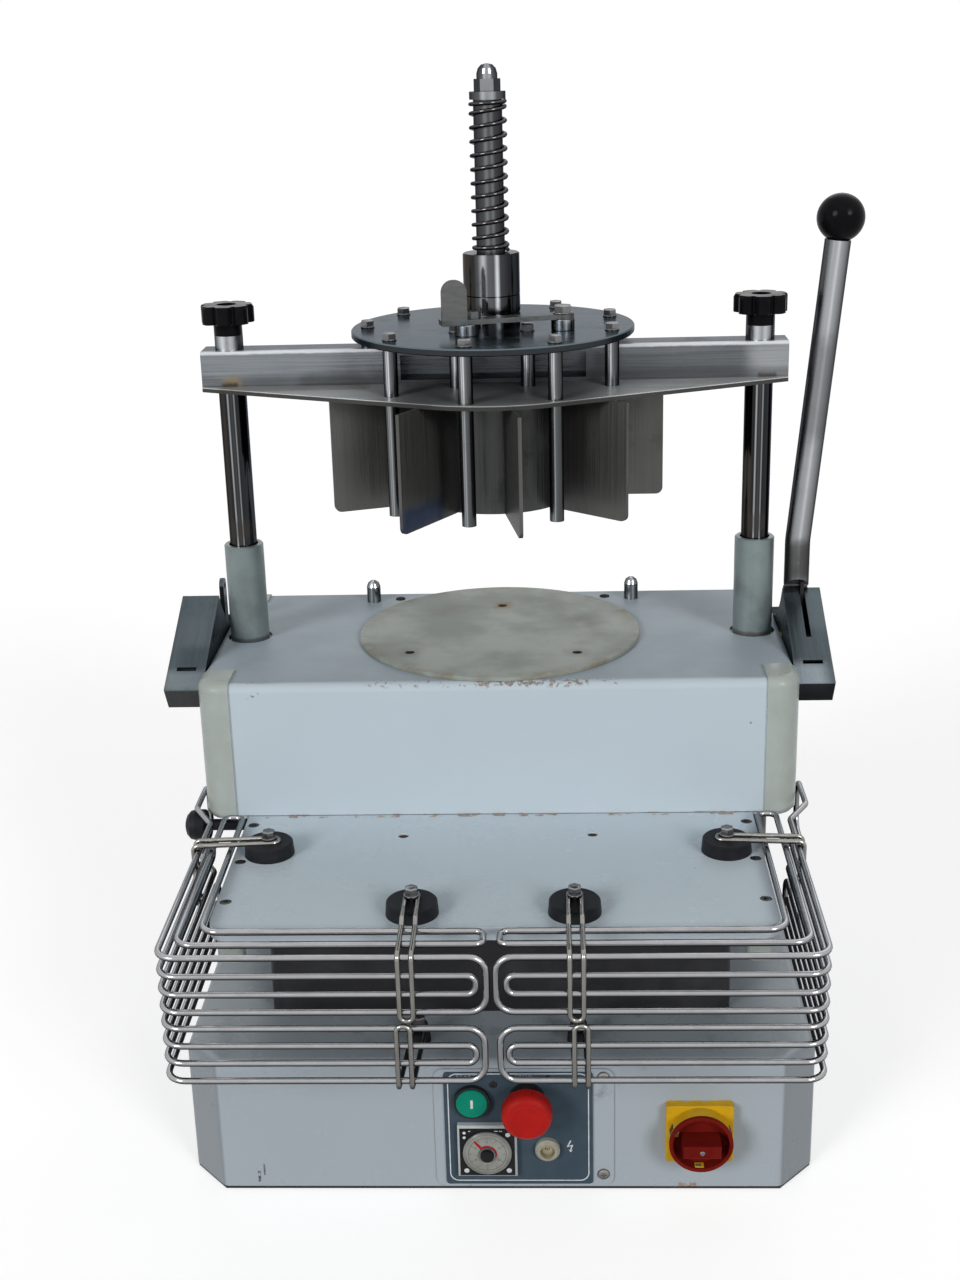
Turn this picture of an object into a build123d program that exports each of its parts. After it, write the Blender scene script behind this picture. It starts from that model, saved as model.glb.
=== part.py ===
# Bench-top dough divider rounder: base, orbiting disc, press head with ring of knives, lever, finger guards.
# Lengths in mm, +Z up. x and y are measured from the axis of the head; save() moves the head back by HEAD_Y
# so that the origin is the centre of the underside of the base.
import math
import os

from build123d import *

HEAD_Y = 80.0               # head axis behind the centre of the base

# base
BASE_HALF = 257.0
CORNER_X = 29.0             # width of the slanted corners
BASE_FACE_HALF = BASE_HALF - CORNER_X
BASE_FRONT, BASE_BACK = -288.0, 128.0
CORNER_Y = 32.0             # depth of the slanted corners
PAN_T = 3.0
BASE_TOP = 120.6
SHEET = 2.0

# waist, frame and deck
BOX_HALF = BASE_HALF - 4
COLUMN_X = BOX_HALF - 26
WAIST_HALF, WAIST_FRONT, WAIST_BACK = COLUMN_X - 35, BASE_FRONT + 77, BASE_BACK - 16
WAIST_H = 140.4
DECK_Z0 = BASE_TOP + WAIST_H
DECK_Z1 = DECK_Z0 + 3
FRAME_Z0, FRAME_Z1 = DECK_Z0 - 9, DECK_Z0 - 1
DECK_HALF, DECK_FRONT = BOX_HALF - 37, BASE_FRONT - 40

# upper housing
BOX_SETBACK, BOX_HEIGHT = 159.0, 120.0
BOX_FRONT, BOX_BACK, BOX_TOP = BASE_FRONT + BOX_SETBACK, BASE_BACK - 3, DECK_Z1 + BOX_HEIGHT
BEND = 8.0                  # outside bend of the housings
BOX_CORNER = 20.0           # upright corners of the upper housing
TRIM_T = 1.6
TRIM_X, TRIM_Y = BOX_HALF - 27, BOX_FRONT + 36

# columns
COLUMN_R = 12.0
COLUMN_FOOT = DECK_Z0 - 2
ROD_R = 5.0                 # gas-spring rod
ROD_FOOT = BASE_TOP + 6.7
STUD_R = 8.0
TUBE_R, TUBE_Z0, TUBE_Z1 = 17.35, BOX_TOP - 40, BOX_TOP + 88
RUN = 0.05                  # running clearance on a radius

# press head
KNIFE_Z0 = BOX_TOP + 128
KNIFE_H = 99.5
PLATE_Z0 = KNIFE_Z0 + KNIFE_H
BEAM_Z0 = PLATE_Z0 + 4
BEAM_Z1 = BEAM_Z0 + 30.2
BEAM_HALF = COLUMN_X + 23
STUD_TOP = BEAM_Z1 + 16.3
KNIFE_R, KNIFE_T = 62.0, 3.0
PLATE_R = 117.0             # round middle of the knife plate
BLADE_R = 145.5
BLADE_ANGLES = [9.5 + 40 * k for k in range(9)]
PUSHER_R = 107.0
PUSHER_ANGLES = [-10.5 + 40 * k for k in range(9)]
INNER_PUSHERS = [(-30.0, -33.0), (30.0, -33.0)]
SPINDLE_R, SPINDLE_H = 12.0, 199.8
SPINDLE_TOP = BEAM_Z1 + SPINDLE_H
SPRING_Z0, SPRING_R, WIRE_R = BEAM_Z1 + 76.9, 14.25, 1.5
SPRING_TURNS, CLOSED_TURNS = 11.0, 1
COIL_GAP, SEAT_GAP = 0.6, 0.3

# ejector and latch
EJECTOR_R, EJECTOR_Z0 = 120.5, BEAM_Z1 + 9.8
EJECTOR_Z1 = EJECTOR_Z0 + 6
LATCH_Z0 = EJECTOR_Z1 + 9.4
LATCH_Z1 = LATCH_Z0 + 4.1
PIVOT = (59.6, -30.0)       # latch pivot post
REST_POST = (-19.8, -50.0)

# lever and gear train
LEVER_Z = BOX_TOP - 16
LEVER_H, LEVER_OUT = 259.7, 24.4      # rise and outward lean of the lever above its bend
MODULE = 2.0
SECTOR_TEETH, PINION_TEETH, RACK_TEETH = 60, 15, 32
CROSS_Y = -42.0
CENTRES = MODULE * (SECTOR_TEETH + PINION_TEETH) / 2
CROSS_Z = LEVER_Z - math.sqrt(CENTRES ** 2 - CROSS_Y ** 2)
MESH = math.atan2(CROSS_Z - LEVER_Z, CROSS_Y)       # direction from the sector to its pinion
RACK_LINE = CROSS_Y + MODULE * RACK_TEETH / 2
ADDENDUM, DEDENDUM, TOOTH_THIN = 0.8 * MODULE, 1.05 * MODULE, 0.14
PRESSURE = math.radians(20)
SECTOR_X0, SECTOR_X1 = BOX_HALF - 7.8, BOX_HALF - 2.8

# lever covers, side view (y, z)
COVER_X0, COVER_X1 = BOX_HALF, BOX_HALF + 33
SLOT_X = COVER_X0 + 16.6    # middle of the lever tongue
APEX, NOSE, LIP = (0, LEVER_Z + 55), (-105, LEVER_Z + 4), (-92, LEVER_Z - 17)
TAIL, HEEL = (94, LEVER_Z - 17), (94, LEVER_Z + 6)

# orbit drive
ECC = 4.0
CRANK_Y = ECC
IDLER_X = 70.0
CARRIER_R, CARRIER_Z0, CARRIER_Z1 = 104.5, BOX_TOP - 6, BOX_TOP + 0.5
DISC_R, DISC_TOP = 126.0, CARRIER_Z1 + 3.2
WEB_Z = CARRIER_Z0 - 23     # underside of the carrier bosses
BELT_Z = BASE_TOP + 37.4    # middle of the belt
DISC_SCREWS = [(1.0, 67.6), (-77.0, -60.0), (69.0, -65.0)]
PULLEY_R, MOTOR_PULLEY_R = 62.0, 25.0
MOTOR = (-115.0, 20.0)

# guards: (y, z, half width) of each rod along the front
WIRE_SIDES = 8              # facets of the thin wires
GUARD_R, HAIRPIN_R = 2.5, 2.0
GUARD_X, GUARD_Y = BASE_HALF - 12.5, BASE_FRONT - 92.6
TOP_Z = DECK_Z1 + 4.5       # rods 1 to 3 lie level with each other
ROD_1 = (GUARD_Y + 38.5, TOP_Z, GUARD_X - 26.3)
ROD_2 = (GUARD_Y + 18.9, TOP_Z, GUARD_X - 10.7)
UPPER_Z = [TOP_Z - drop for drop in (0, 15.2, 30.3, 45.0)]
LOWER_Z = [BASE_TOP + rise for rise in (89.2, 74.5, 59.9, 44.7)]
OUTER_END, INNER_END = BOX_FRONT - 13, BOX_FRONT - 23
ARM_X, ARM_END = BOX_HALF + 9, BOX_FRONT + 59       # arms of the upper guard beside the housing
KNEE_Y = BASE_FRONT + 20    # where the ledge hairpins start to rise
TOUCH = 0.02                # hairpins lie against the rods
BUFFER_H = 11.0
FRONT_BUFFER = (62.0, DECK_FRONT + 23)
SIDE_BUFFER = (DECK_HALF - 29, BOX_FRONT - 72)
LEDGE_BUFFER = (65.0, BASE_FRONT + 33)
STOP_Y, STOP_Z = BOX_FRONT + 9, DECK_Z0 - 9.0       # rubber stop on the left side

# controls on the front face, (x, z)
FACE = BASE_FRONT
PANEL = FACE - 2.4
START, STOP, TIMER, LAMP = (-21.8, 86.8), (22.6, 88.7), (-10.2, 42.0), (38.5, 41.6)
SWITCH = (BASE_FACE_HALF - 67.3, 58.8)
SWITCH_PLATE, SWITCH_RIM = FACE - 9.0, FACE - 23.0


def block(x0, x1, y0, y1, z0, z1):
    return Pos((x0 + x1) / 2, (y0 + y1) / 2, (z0 + z1) / 2) * Box(x1 - x0, y1 - y0, z1 - z0)


def bar_z(x, y, r, z0, z1):
    return Pos(x, y, (z0 + z1) / 2) * Cylinder(r, z1 - z0)


def bar_y(x, z, r, y0, y1):
    return Pos(x, (y0 + y1) / 2, z) * Rot(90, 0, 0) * Cylinder(r, y1 - y0)


def bar_x(y, z, r, x0, x1):
    return Pos((x0 + x1) / 2, y, z) * Rot(0, 90, 0) * Cylinder(r, x1 - x0)


def prism_x(points, x0, x1):
    return extrude(Plane.YZ.offset(x0) * Polygon(*points, align=None), x1 - x0, dir=(1, 0, 0))


def prism_z(points, z0, z1):
    return extrude(Plane.XY.offset(z0) * Polygon(*points, align=None), z1 - z0, dir=(0, 0, 1))


def hex_head(x, y, z, across, height):
    return extrude(Plane.XY.offset(z) * Pos(x, y) * RegularPolygon(across / math.sqrt(3), 6), height)


def turned(profile):
    return revolve(Plane.XZ * Polygon(*profile, align=None), Axis.Z)


def rounded(x0, x1, y0, y1, z0, z1, corner, top):
    solid = block(x0, x1, y0, y1, z0, z1)
    solid = fillet(solid.edges().filter_by(Axis.Z), corner)
    return fillet(solid.faces().sort_by(Axis.Z)[-1].edges(), top)


def polar(r, degrees):
    a = math.radians(degrees)
    return r * math.sin(a), -r * math.cos(a)


def both(solid):
    return [solid, mirror(solid, Plane.YZ)]


def bent_edges(points, closed):
    n = len(points)
    corner = {}
    for i in range(n) if closed else range(1, n - 1):
        p, r = Vector(*points[i][:3]), points[i][3]
        a = (Vector(*points[i - 1][:3]) - p).normalized()
        b = (Vector(*points[(i + 1) % n][:3]) - p).normalized()
        half = math.radians(a.get_angle(b)) / 2
        c = p + (a + b).normalized() * (r / math.sin(half))
        reach = r / math.tan(half)
        corner[i] = (p + a * reach, c + (p - c).normalized() * r, p + b * reach)
    edges = []
    for i in range(n if closed else n - 1):
        j = (i + 1) % n
        start = corner[i][2] if i in corner else Vector(*points[i][:3])
        end = corner[j][0] if j in corner else Vector(*points[j][:3])
        if (end - start).length > 0.001:
            edges.append(Line(start, end))
        if j in corner:
            edges.append(ThreePointArc(*corner[j]))
    return edges


def pipe(edges, section):
    path = Wire(edges)
    return sweep(Plane(origin=path @ 0, z_dir=path % 0) * section, path=path)


def thin_wire(r):
    return RegularPolygon(r, WIRE_SIDES, major_radius=True)


def bent_bar(points, section):
    """Open bar through points (x, y, z, bend radius)."""
    return pipe(bent_edges(points, False), section)


def bent_loop(points, section):
    """Closed loop through points (x, y, z, bend radius), swept in two halves."""
    edges = bent_edges(points, True)
    k = len(edges) // 2
    return pipe(edges[:k], section) + pipe(edges[k:], section)


def tooth_half(teeth, r):
    pitch_r = MODULE * teeth / 2
    base_r = pitch_r * math.cos(PRESSURE)

    def inv(a):
        return math.tan(a) - a

    half = (math.pi * MODULE / 2 - TOOTH_THIN) / (2 * pitch_r)
    return half + inv(PRESSURE) - inv(math.acos(min(1.0, base_r / r)))


def gear_points(teeth, centre, angles):
    pitch_r = MODULE * teeth / 2
    base_r = pitch_r * math.cos(PRESSURE)
    radii = [pitch_r - DEDENDUM, pitch_r + ADDENDUM]
    points = []
    for a in angles:
        for side, order in ((-1, radii), (1, radii[::-1])):
            for r in order:
                t = a + side * tooth_half(teeth, max(r, base_r))
                points.append((centre[0] + r * math.cos(t), centre[1] + r * math.sin(t)))
    return points


def gear(teeth, centre, first, x0, x1):
    angles = [first + 2 * math.pi * k / teeth for k in range(teeth)]
    return prism_x(gear_points(teeth, centre, angles), x0, x1)


PARTS = {}


def save(name, solids):
    solids = solids if isinstance(solids, list) else [solids]
    pieces = [s for solid in solids for s in (Pos(0, HEAD_Y, 0) * solid).solids()]
    PARTS[name] = pieces[0] if len(pieces) == 1 else Compound(children=pieces)
    PARTS[name].label = name


def base_outline(inset):
    slope = math.hypot(BASE_HALF - BASE_FACE_HALF, CORNER_Y)
    dx = inset * (slope - CORNER_Y) / (BASE_HALF - BASE_FACE_HALF)
    dy = inset * (slope - (BASE_HALF - BASE_FACE_HALF)) / CORNER_Y
    xf, xs = BASE_FACE_HALF - dy, BASE_HALF - inset
    y0, y1, y2 = BASE_FRONT + inset, BASE_FRONT + CORNER_Y + dx, BASE_BACK - inset
    return [(-xf, y0), (xf, y0), (xs, y1), (xs, y2), (-xs, y2), (-xs, y1)]


def base_body(inset, z0, z1, corner, top):
    solid = prism_z(base_outline(inset), z0, z1)
    solid = fillet(solid.edges().filter_by(Axis.Z), corner)
    return fillet(solid.faces().sort_by(Axis.Z)[-1].edges(), top)


# base pan and casing
save("base_pan", prism_z(base_outline(1.0), 0, PAN_T))
casing = base_body(0, PAN_T, BASE_TOP, BEND + 1, BEND)
casing -= base_body(SHEET, 0, BASE_TOP - SHEET, BEND - 1, BEND - 2)
casing -= block(-WAIST_HALF + 6, WAIST_HALF - 6, WAIST_FRONT + 11, WAIST_BACK - 8, BASE_TOP - 20, BASE_TOP)
casing -= [bar_z(s * COLUMN_X, 0, 15.5, BASE_TOP - 20, BASE_TOP) for s in (-1, 1)]
casing -= block(-40, 72, FACE - 1, FACE + 3, 14, 104)
casing -= bar_y(*SWITCH, 11, FACE - 1, FACE + 3)
save("base_casing", casing)

# waist, frame plate and legs round the gas springs
waist = block(-WAIST_HALF, WAIST_HALF, WAIST_FRONT, WAIST_BACK, BASE_TOP, DECK_Z0)
waist = fillet(waist.edges().filter_by(Axis.Z), 6)
hollow = block(-WAIST_HALF + 2, WAIST_HALF - 2, WAIST_FRONT + 2, WAIST_BACK - 2, BASE_TOP, DECK_Z0)
save("waist_housing", waist - fillet(hollow.edges().filter_by(Axis.Z), 4))
plate = block(-WAIST_HALF + 2, WAIST_HALF - 2, WAIST_FRONT + 2, WAIST_BACK - 2, FRAME_Z0, FRAME_Z1)
plate = fillet(plate.edges().filter_by(Axis.Z), 4)
save("frame_plate", plate - bar_z(0, CRANK_Y, 26, FRAME_Z0, FRAME_Z1))
leg = bar_z(COLUMN_X, 0, 18, BASE_TOP, DECK_Z0) - bar_z(COLUMN_X, 0, 15, BASE_TOP, DECK_Z0)
save("column_legs", both(leg))

# deck
deck = block(-DECK_HALF, DECK_HALF, DECK_FRONT, BOX_FRONT + 4, DECK_Z0, DECK_Z1)
deck = fillet(deck.edges().filter_by(Axis.Z).sort_by(Axis.Y)[:2], 14)
lip = block(-DECK_HALF, DECK_HALF, DECK_FRONT, BOX_FRONT - 12, DECK_Z0 - 8, DECK_Z0)
lip = fillet(lip.edges().filter_by(Axis.Z).sort_by(Axis.Y)[:2], 14)
core = block(-DECK_HALF + 2, DECK_HALF - 2, DECK_FRONT + 2, BOX_FRONT, DECK_Z0 - 8, DECK_Z0)
deck += lip - fillet(core.edges().filter_by(Axis.Z).sort_by(Axis.Y)[:2], 12)
under = block(-BOX_HALF + 1, BOX_HALF - 1, BOX_FRONT + 1, BOX_BACK - 1, DECK_Z0, DECK_Z1)
deck += fillet(under.edges().filter_by(Axis.Z), BOX_CORNER - 1)
deck -= block(-BOX_HALF + 47, BOX_HALF - 47, BOX_FRONT + 10, BOX_BACK - 17, DECK_Z0, DECK_Z1)
deck -= [bar_z(s * COLUMN_X, 0, 15, DECK_Z0, DECK_Z1) for s in (-1, 1)]
DECK_SCREWS = [(s * (DECK_HALF - 7), BOX_FRONT - y) for s in (-1, 1) for y in (18, 87, 156)]
deck -= [bar_z(x, y, 4.8, DECK_Z1 - 1.4, DECK_Z1) for x, y in DECK_SCREWS]
deck -= [bar_z(s * 79, BOX_FRONT - 41, 4.5, DECK_Z0, DECK_Z1) for s in (-1, 1)]
save("top_cover", deck)

# upper housing and its corner trims
shape = rounded(-BOX_HALF, BOX_HALF, BOX_FRONT, BOX_BACK, DECK_Z1, BOX_TOP, BOX_CORNER, BEND - 1)
inside = rounded(-BOX_HALF + SHEET, BOX_HALF - SHEET, BOX_FRONT + SHEET, BOX_BACK - SHEET,
                 DECK_Z1, BOX_TOP - SHEET, BOX_CORNER - SHEET, BEND - 1 - SHEET)
housing = shape - inside
housing -= [bar_z(s * COLUMN_X, 0, 19.8, BOX_TOP - 5, BOX_TOP) for s in (-1, 1)]
housing -= bar_z(0, CRANK_Y, CARRIER_R + ECC + 1, BOX_TOP - 5, BOX_TOP)
housing -= bar_x(0, LEVER_Z, 13, BOX_HALF - 5, BOX_HALF + 1)
save("upper_housing", housing)
trims = rounded(-BOX_HALF - TRIM_T, BOX_HALF + TRIM_T, BOX_FRONT - TRIM_T, BOX_BACK + TRIM_T,
                DECK_Z1, BOX_TOP + TRIM_T, BOX_CORNER + TRIM_T, BEND - 1 + TRIM_T) - shape
edge_x, over = BOX_HALF + 20, BOX_TOP + 20
front_trim = trims & block(TRIM_X, edge_x, BOX_FRONT - 20, TRIM_Y, DECK_Z1, over)
back_trim = trims & block(TRIM_X, edge_x, BOX_BACK - 28, BOX_BACK + 20, DECK_Z1, over)
post = block(DECK_HALF - 24, DECK_HALF - 4, DECK_FRONT + 10, DECK_FRONT + 28, DECK_Z0 - 32, DECK_Z0)
post = fillet(post.edges().filter_by(Axis.Z), 5)
save("corner_trims", both(front_trim) + both(back_trim) + both(post))
tube = bar_z(COLUMN_X, 0, TUBE_R, TUBE_Z0, TUBE_Z1)
tube += block(COLUMN_X - 24, BOX_HALF - 8.4, -22, 22, BOX_TOP - 8, BOX_TOP - SHEET)
tube -= bar_z(COLUMN_X, 0, COLUMN_R + RUN, TUBE_Z0, TUBE_Z1)
tube -= bar_z(COLUMN_X, 0, COLUMN_R + 1, TUBE_Z1 - 8, TUBE_Z1)
tube = chamfer(tube.edges().filter_by(GeomType.CIRCLE).group_by(Axis.Z)[-1].sort_by(SortBy.RADIUS)[-1], 1)
save("guide_tubes", both(tube))
stud = turned([(0, 0), (6.5, 0), (6.5, 15), (5.2, 18.6), (2.6, 20.6), (0, 21)])
save("locating_studs", both(Pos(123, 98, BOX_TOP) * stud))

# bearings: column bushes, cross-shaft blocks, lever bush
bush_z = (DECK_Z0 - 13, DECK_Z1 + 6)
bush = bar_z(COLUMN_X, 0, 15, *bush_z) - bar_z(COLUMN_X, 0, COLUMN_R + RUN, *bush_z)
stand_x = (WAIST_HALF - 29, WAIST_HALF - 15)
stand = block(*stand_x, CROSS_Y - 15, CROSS_Y + 15, FRAME_Z1, CROSS_Z + 16)
stand = fillet(stand.edges().filter_by(Axis.X).group_by(Axis.Z)[-1], 12)
stand -= bar_x(CROSS_Y, CROSS_Z, 10 + RUN, *stand_x)
ring = bar_x(0, LEVER_Z, 13, BOX_HALF - SHEET, COVER_X0 + 2)
ring += bar_x(0, LEVER_Z, 14.8, COVER_X0 + 2, COVER_X0 + 4)
ring -= bar_x(0, LEVER_Z, 10 + RUN, BOX_HALF - 5, COVER_X0 + 5)
save("bearings", both(bush) + both(stand) + [ring])


# lever covers
def inset_line(p, q, t):
    length = math.hypot(q[0] - p[0], q[1] - p[1])
    ny, nz = -(q[1] - p[1]) / length * t, (q[0] - p[0]) / length * t
    return [p, q, (q[0] + ny, q[1] + nz), (p[0] + ny, p[1] + nz)]


profile = [APEX, NOSE, LIP, TAIL, HEEL, (58, LEVER_Z + 10), (28, LEVER_Z + 22), (10, LEVER_Z + 40)]
cover = prism_x(profile, COVER_X0, COVER_X1) - prism_x(profile, COVER_X0 + SHEET, COVER_X1 - SHEET)
for p, q in ((APEX, NOSE), (NOSE, LIP), (LIP, TAIL), (TAIL, HEEL)):
    flange = prism_x(inset_line(p, q, SHEET), COVER_X0 + SHEET, COVER_X1 - SHEET)
    cover += flange & prism_x(profile, COVER_X0, COVER_X1)
slope = math.degrees(math.atan2(APEX[1] - NOSE[1], APEX[0] - NOSE[0]))
on_slope = Pos(SLOT_X, APEX[0], APEX[1]) * Rot(slope, 0, 0)
cover -= on_slope * Pos(0, -92, 0) * Box(17, 4.6, 8)
right = cover - on_slope * Pos(0, -26, 0) * Box(4.4, 72, 14)
right -= bar_x(0, LEVER_Z, 13, COVER_X0 - 1, COVER_X0 + 3)
right -= [front_trim]
save("lever_cover_right", right)
left = mirror(cover, Plane.YZ) - [mirror(front_trim, Plane.YZ)]
eye_x = (-COVER_X0 - 6, -COVER_X0 - SHEET)
eye_z = LEVER_Z + 52
eye = block(*eye_x, 33, 47, LEVER_Z - 8, eye_z) + bar_x(40, eye_z, 7, *eye_x)
left += eye - bar_x(40, eye_z, 3, *eye_x)
save("lever_cover_left", left)

# gas springs standing in the base
gas_top = BASE_TOP + 13.9
gas = bar_z(COLUMN_X, 0, 14, PAN_T, gas_top) - bar_z(COLUMN_X, 0, 9, PAN_T + 1.5, gas_top - 10.5)
gas -= bar_z(COLUMN_X, 0, ROD_R + RUN, gas_top - 30, gas_top)
save("gas_springs", both(gas))

# orbit drive
sleeve_z, idler_z = (FRAME_Z0 - 70, WEB_Z - 11), (WEB_Z - 43, WEB_Z - 11)
housing = bar_z(0, CRANK_Y, 26, *sleeve_z) + bar_z(0, CRANK_Y, 46, FRAME_Z0 - 8, FRAME_Z0)
housing += block(0, IDLER_X, CRANK_Y - 14, CRANK_Y + 14, WEB_Z - 39, WEB_Z - 25)
housing += bar_z(IDLER_X, CRANK_Y, 15, *idler_z)
housing -= bar_z(0, CRANK_Y, 12 + RUN, *sleeve_z)
housing -= bar_z(IDLER_X, CRANK_Y, 8 + RUN, *idler_z)
save("drive_bracket", housing)
motor_z = BASE_TOP - 14.6
motor = bar_z(*MOTOR, 56, PAN_T, motor_z) + bar_z(*MOTOR, 24, motor_z, motor_z + 6)
motor += block(MOTOR[0] - 66, MOTOR[0] + 66, MOTOR[1] - 40, MOTOR[1] + 40, PAN_T, PAN_T + 8)
save("motor", motor - bar_z(*MOTOR, 8 + RUN, motor_z - 36, motor_z + 6))


def belt_loop(extra, z0, z1):
    big, small = PULLEY_R + extra, MOTOR_PULLEY_R + extra
    span = math.hypot(MOTOR[0], MOTOR[1] - CRANK_Y)
    lean = math.atan2(MOTOR[1] - CRANK_Y, MOTOR[0])
    a = math.acos((big - small) / span)
    corners = []
    for s, r, c in ((1, big, (0, CRANK_Y)), (1, small, MOTOR), (-1, small, MOTOR), (-1, big, (0, CRANK_Y))):
        corners.append((c[0] + r * math.cos(lean + s * a), c[1] + r * math.sin(lean + s * a)))
    middle = prism_z(corners, z0, z1)
    return middle + bar_z(0, CRANK_Y, big, z0, z1) + bar_z(*MOTOR, small, z0, z1)


belt_z, wheel_z = (BELT_Z - 6, BELT_Z + 6), (BELT_Z - 8, BELT_Z + 8)
web_z, pin_z, bore_z = (WEB_Z - 10, WEB_Z), (WEB_Z, CARRIER_Z0 - 2), (WEB_Z + 1, CARRIER_Z0 - 1)
save("drive_belt", belt_loop(3.3, *belt_z) - belt_loop(0.3, *belt_z))
crank = bar_z(0, CRANK_Y, 12, BELT_Z - 16, WEB_Z - 10) + bar_z(0, CRANK_Y, 24, *web_z) + bar_z(0, 0, 10, *pin_z)
crank += bar_z(0, CRANK_Y, PULLEY_R, *wheel_z) + bar_z(0, CRANK_Y, 20, BELT_Z - 16, BELT_Z + 16)
save("crank_shaft", crank)
idler = bar_z(IDLER_X, CRANK_Y, 8, WEB_Z - 42, WEB_Z - 10) + bar_z(IDLER_X, CRANK_Y, 15, *web_z)
save("idler_crank", idler + bar_z(IDLER_X, 0, 7, *pin_z))
save("motor_pulley", bar_z(*MOTOR, 8, motor_z - 34, BELT_Z + 12) + bar_z(*MOTOR, MOTOR_PULLEY_R, *wheel_z))
carrier = bar_z(0, 0, CARRIER_R, CARRIER_Z0, CARRIER_Z1) + bar_z(0, 0, 18, WEB_Z + 1, CARRIER_Z0)
carrier += bar_z(IDLER_X, 0, 13, WEB_Z + 1, CARRIER_Z0)
carrier -= bar_z(0, 0, 10 + RUN, *bore_z)
carrier -= bar_z(IDLER_X, 0, 7 + RUN, *bore_z)
save("orbit_carrier", carrier)
disc = bar_z(0, 0, DISC_R, CARRIER_Z1, DISC_TOP)
disc = chamfer(disc.edges().group_by(Axis.Z)[-1], 0.8)
disc -= [bar_z(x, y, 4.4, DISC_TOP - 1.4, DISC_TOP) for x, y in DISC_SCREWS]
save("rounding_disc", disc)
screw = bar_z(0, 0, 4.2, DISC_TOP - 1.4, DISC_TOP - 0.3) - block(-0.6, 0.6, -5, 5, DISC_TOP - 0.9, DISC_TOP)
save("disc_screws", [Pos(x, y, 0) * screw for x, y in DISC_SCREWS])


# guards
def loop(front, back, x_mid, y_end, bend, end_bend, arms=False):
    """Closed loop of two rods. With arms it steps out and runs on beside the housing."""
    (y0, z0, x0), (y1, z1, x1) = front, back
    points = [(x_mid, y0, z0, end_bend), (x0, y0, z0, bend)]
    if arms:
        for z in (z0, z1):
            step = [(x0, INNER_END - 2, z, 10), (ARM_X, BOX_FRONT + 6, z, 10), (ARM_X, ARM_END, z, end_bend)]
            points += step if z == z0 else step[::-1]
    else:
        points += [(x0, y_end, z0, end_bend), (x1, y_end, z1, end_bend)]
    points += [(x1, y1, z1, bend), (x_mid, y1, z1, end_bend)]
    return bent_loop(points, thin_wire(GUARD_R))


def hairpin(profile, place):
    """Closed hairpin: profile is (along, z, bend radius), place turns (across, along, z) into a point."""
    points = [(*place(-5.0, a, z), r) for a, z, r in profile]
    points += [(*place(5.0, a, z), r) for a, z, r in profile[::-1]]
    return bent_loop(points, thin_wire(HAIRPIN_R))


def rods(z):
    return GUARD_Y, z, GUARD_X


def over_rods(a1, a2, first, last):
    """Points at first and last of a line that lies on the tops of rods 1 and 2, at a1 and a2."""
    fall = (ROD_2[1] - ROD_1[1]) / (a2 - a1)
    rise = sink * math.hypot(1, fall)
    return [(a, ROD_1[1] + fall * (a - a1) + rise, sink) for a in (first, last)]


sink = GUARD_R + HAIRPIN_R + TOUCH
wire_z = DECK_Z1 + BUFFER_H + HAIRPIN_R
upper_foot, lower_head = UPPER_Z[3] - 5, LOWER_Z[0] + 4.3
upper = [loop(ROD_1, ROD_2, 6.2, OUTER_END, 14, 6)]
upper.append(loop(rods(UPPER_Z[0]), rods(UPPER_Z[3]), 3.4, ARM_END, 15, 13, arms=True))
upper.append(loop(rods(UPPER_Z[1]), rods(UPPER_Z[2]), 11.1, INNER_END, 15, 6.5))
front_pin = [(FRONT_BUFFER[1] + 8, wire_z, 4.5), (ROD_1[0] + 6, wire_z, 4)]
front_pin += over_rods(ROD_1[0], ROD_2[0], ROD_1[0] - 0.6, GUARD_Y - sink)
front_pin.append((GUARD_Y - sink, upper_foot, 4.5))
upper.append(hairpin(front_pin, lambda s, a, z: (FRONT_BUFFER[0] + s, a, z)))
side_pin = [(SIDE_BUFFER[0] - 8, wire_z, 4.5), (ROD_1[2] - 10, wire_z, 4)]
side_pin += over_rods(ROD_1[2], ROD_2[2], ROD_1[2] + 0.6, GUARD_X + sink)
side_pin.append((GUARD_X + sink, upper_foot, 4.5))
upper.append(hairpin(side_pin, lambda s, a, z: (a, SIDE_BUFFER[1] + s, z)))
lower = [loop(rods(LOWER_Z[0]), rods(LOWER_Z[3]), 5.7, OUTER_END, 15, 13)]
lower.append(loop(rods(LOWER_Z[1]), rods(LOWER_Z[2]), 12.0, INNER_END, 15, 6.5))
ledge_z = BASE_TOP + BUFFER_H + HAIRPIN_R
run, rise = KNEE_Y - GUARD_Y, LOWER_Z[3] - ledge_z
climb = math.tan(math.atan2(rise, run) - math.asin(sink / math.hypot(rise, run)))
ledge_pin = [(GUARD_Y - sink, lower_head, 4.5), (GUARD_Y - sink, ledge_z + (run + sink) * climb, sink)]
ledge_pin += [(KNEE_Y, ledge_z, 8), (LEDGE_BUFFER[1] + 8, ledge_z, 4.5)]
lower.append(hairpin(ledge_pin, lambda s, a, z: (LEDGE_BUFFER[0] + s, a, z)))
save("upper_guards", [half for piece in upper for half in both(piece)])
save("lower_guards", [half for piece in lower for half in both(piece)])
buffers, bolts = [], []
for (x, y), foot, r in ((FRONT_BUFFER, DECK_Z1, 20), (SIDE_BUFFER, DECK_Z1, 20), (LEDGE_BUFFER, BASE_TOP, 9)):
    top = foot + BUFFER_H
    cushion = turned([(0, foot), (r + 0.5, foot), (r - 0.3, top - 1), (r - 1.3, top), (0, top)])
    buffers += both(Pos(x, y, 0) * cushion)
    bolt = bar_z(x, y, 2.6, top, top + 4.2) + bar_z(x, y, 7, top + 4, top + 5.4)
    bolts += both(bolt + hex_head(x, y, top + 5.4, 11, 6))
save("guard_buffers", buffers)
stop_pin = bar_x(STOP_Y, STOP_Z, 5, -BASE_HALF - 6, -WAIST_HALF)
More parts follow.
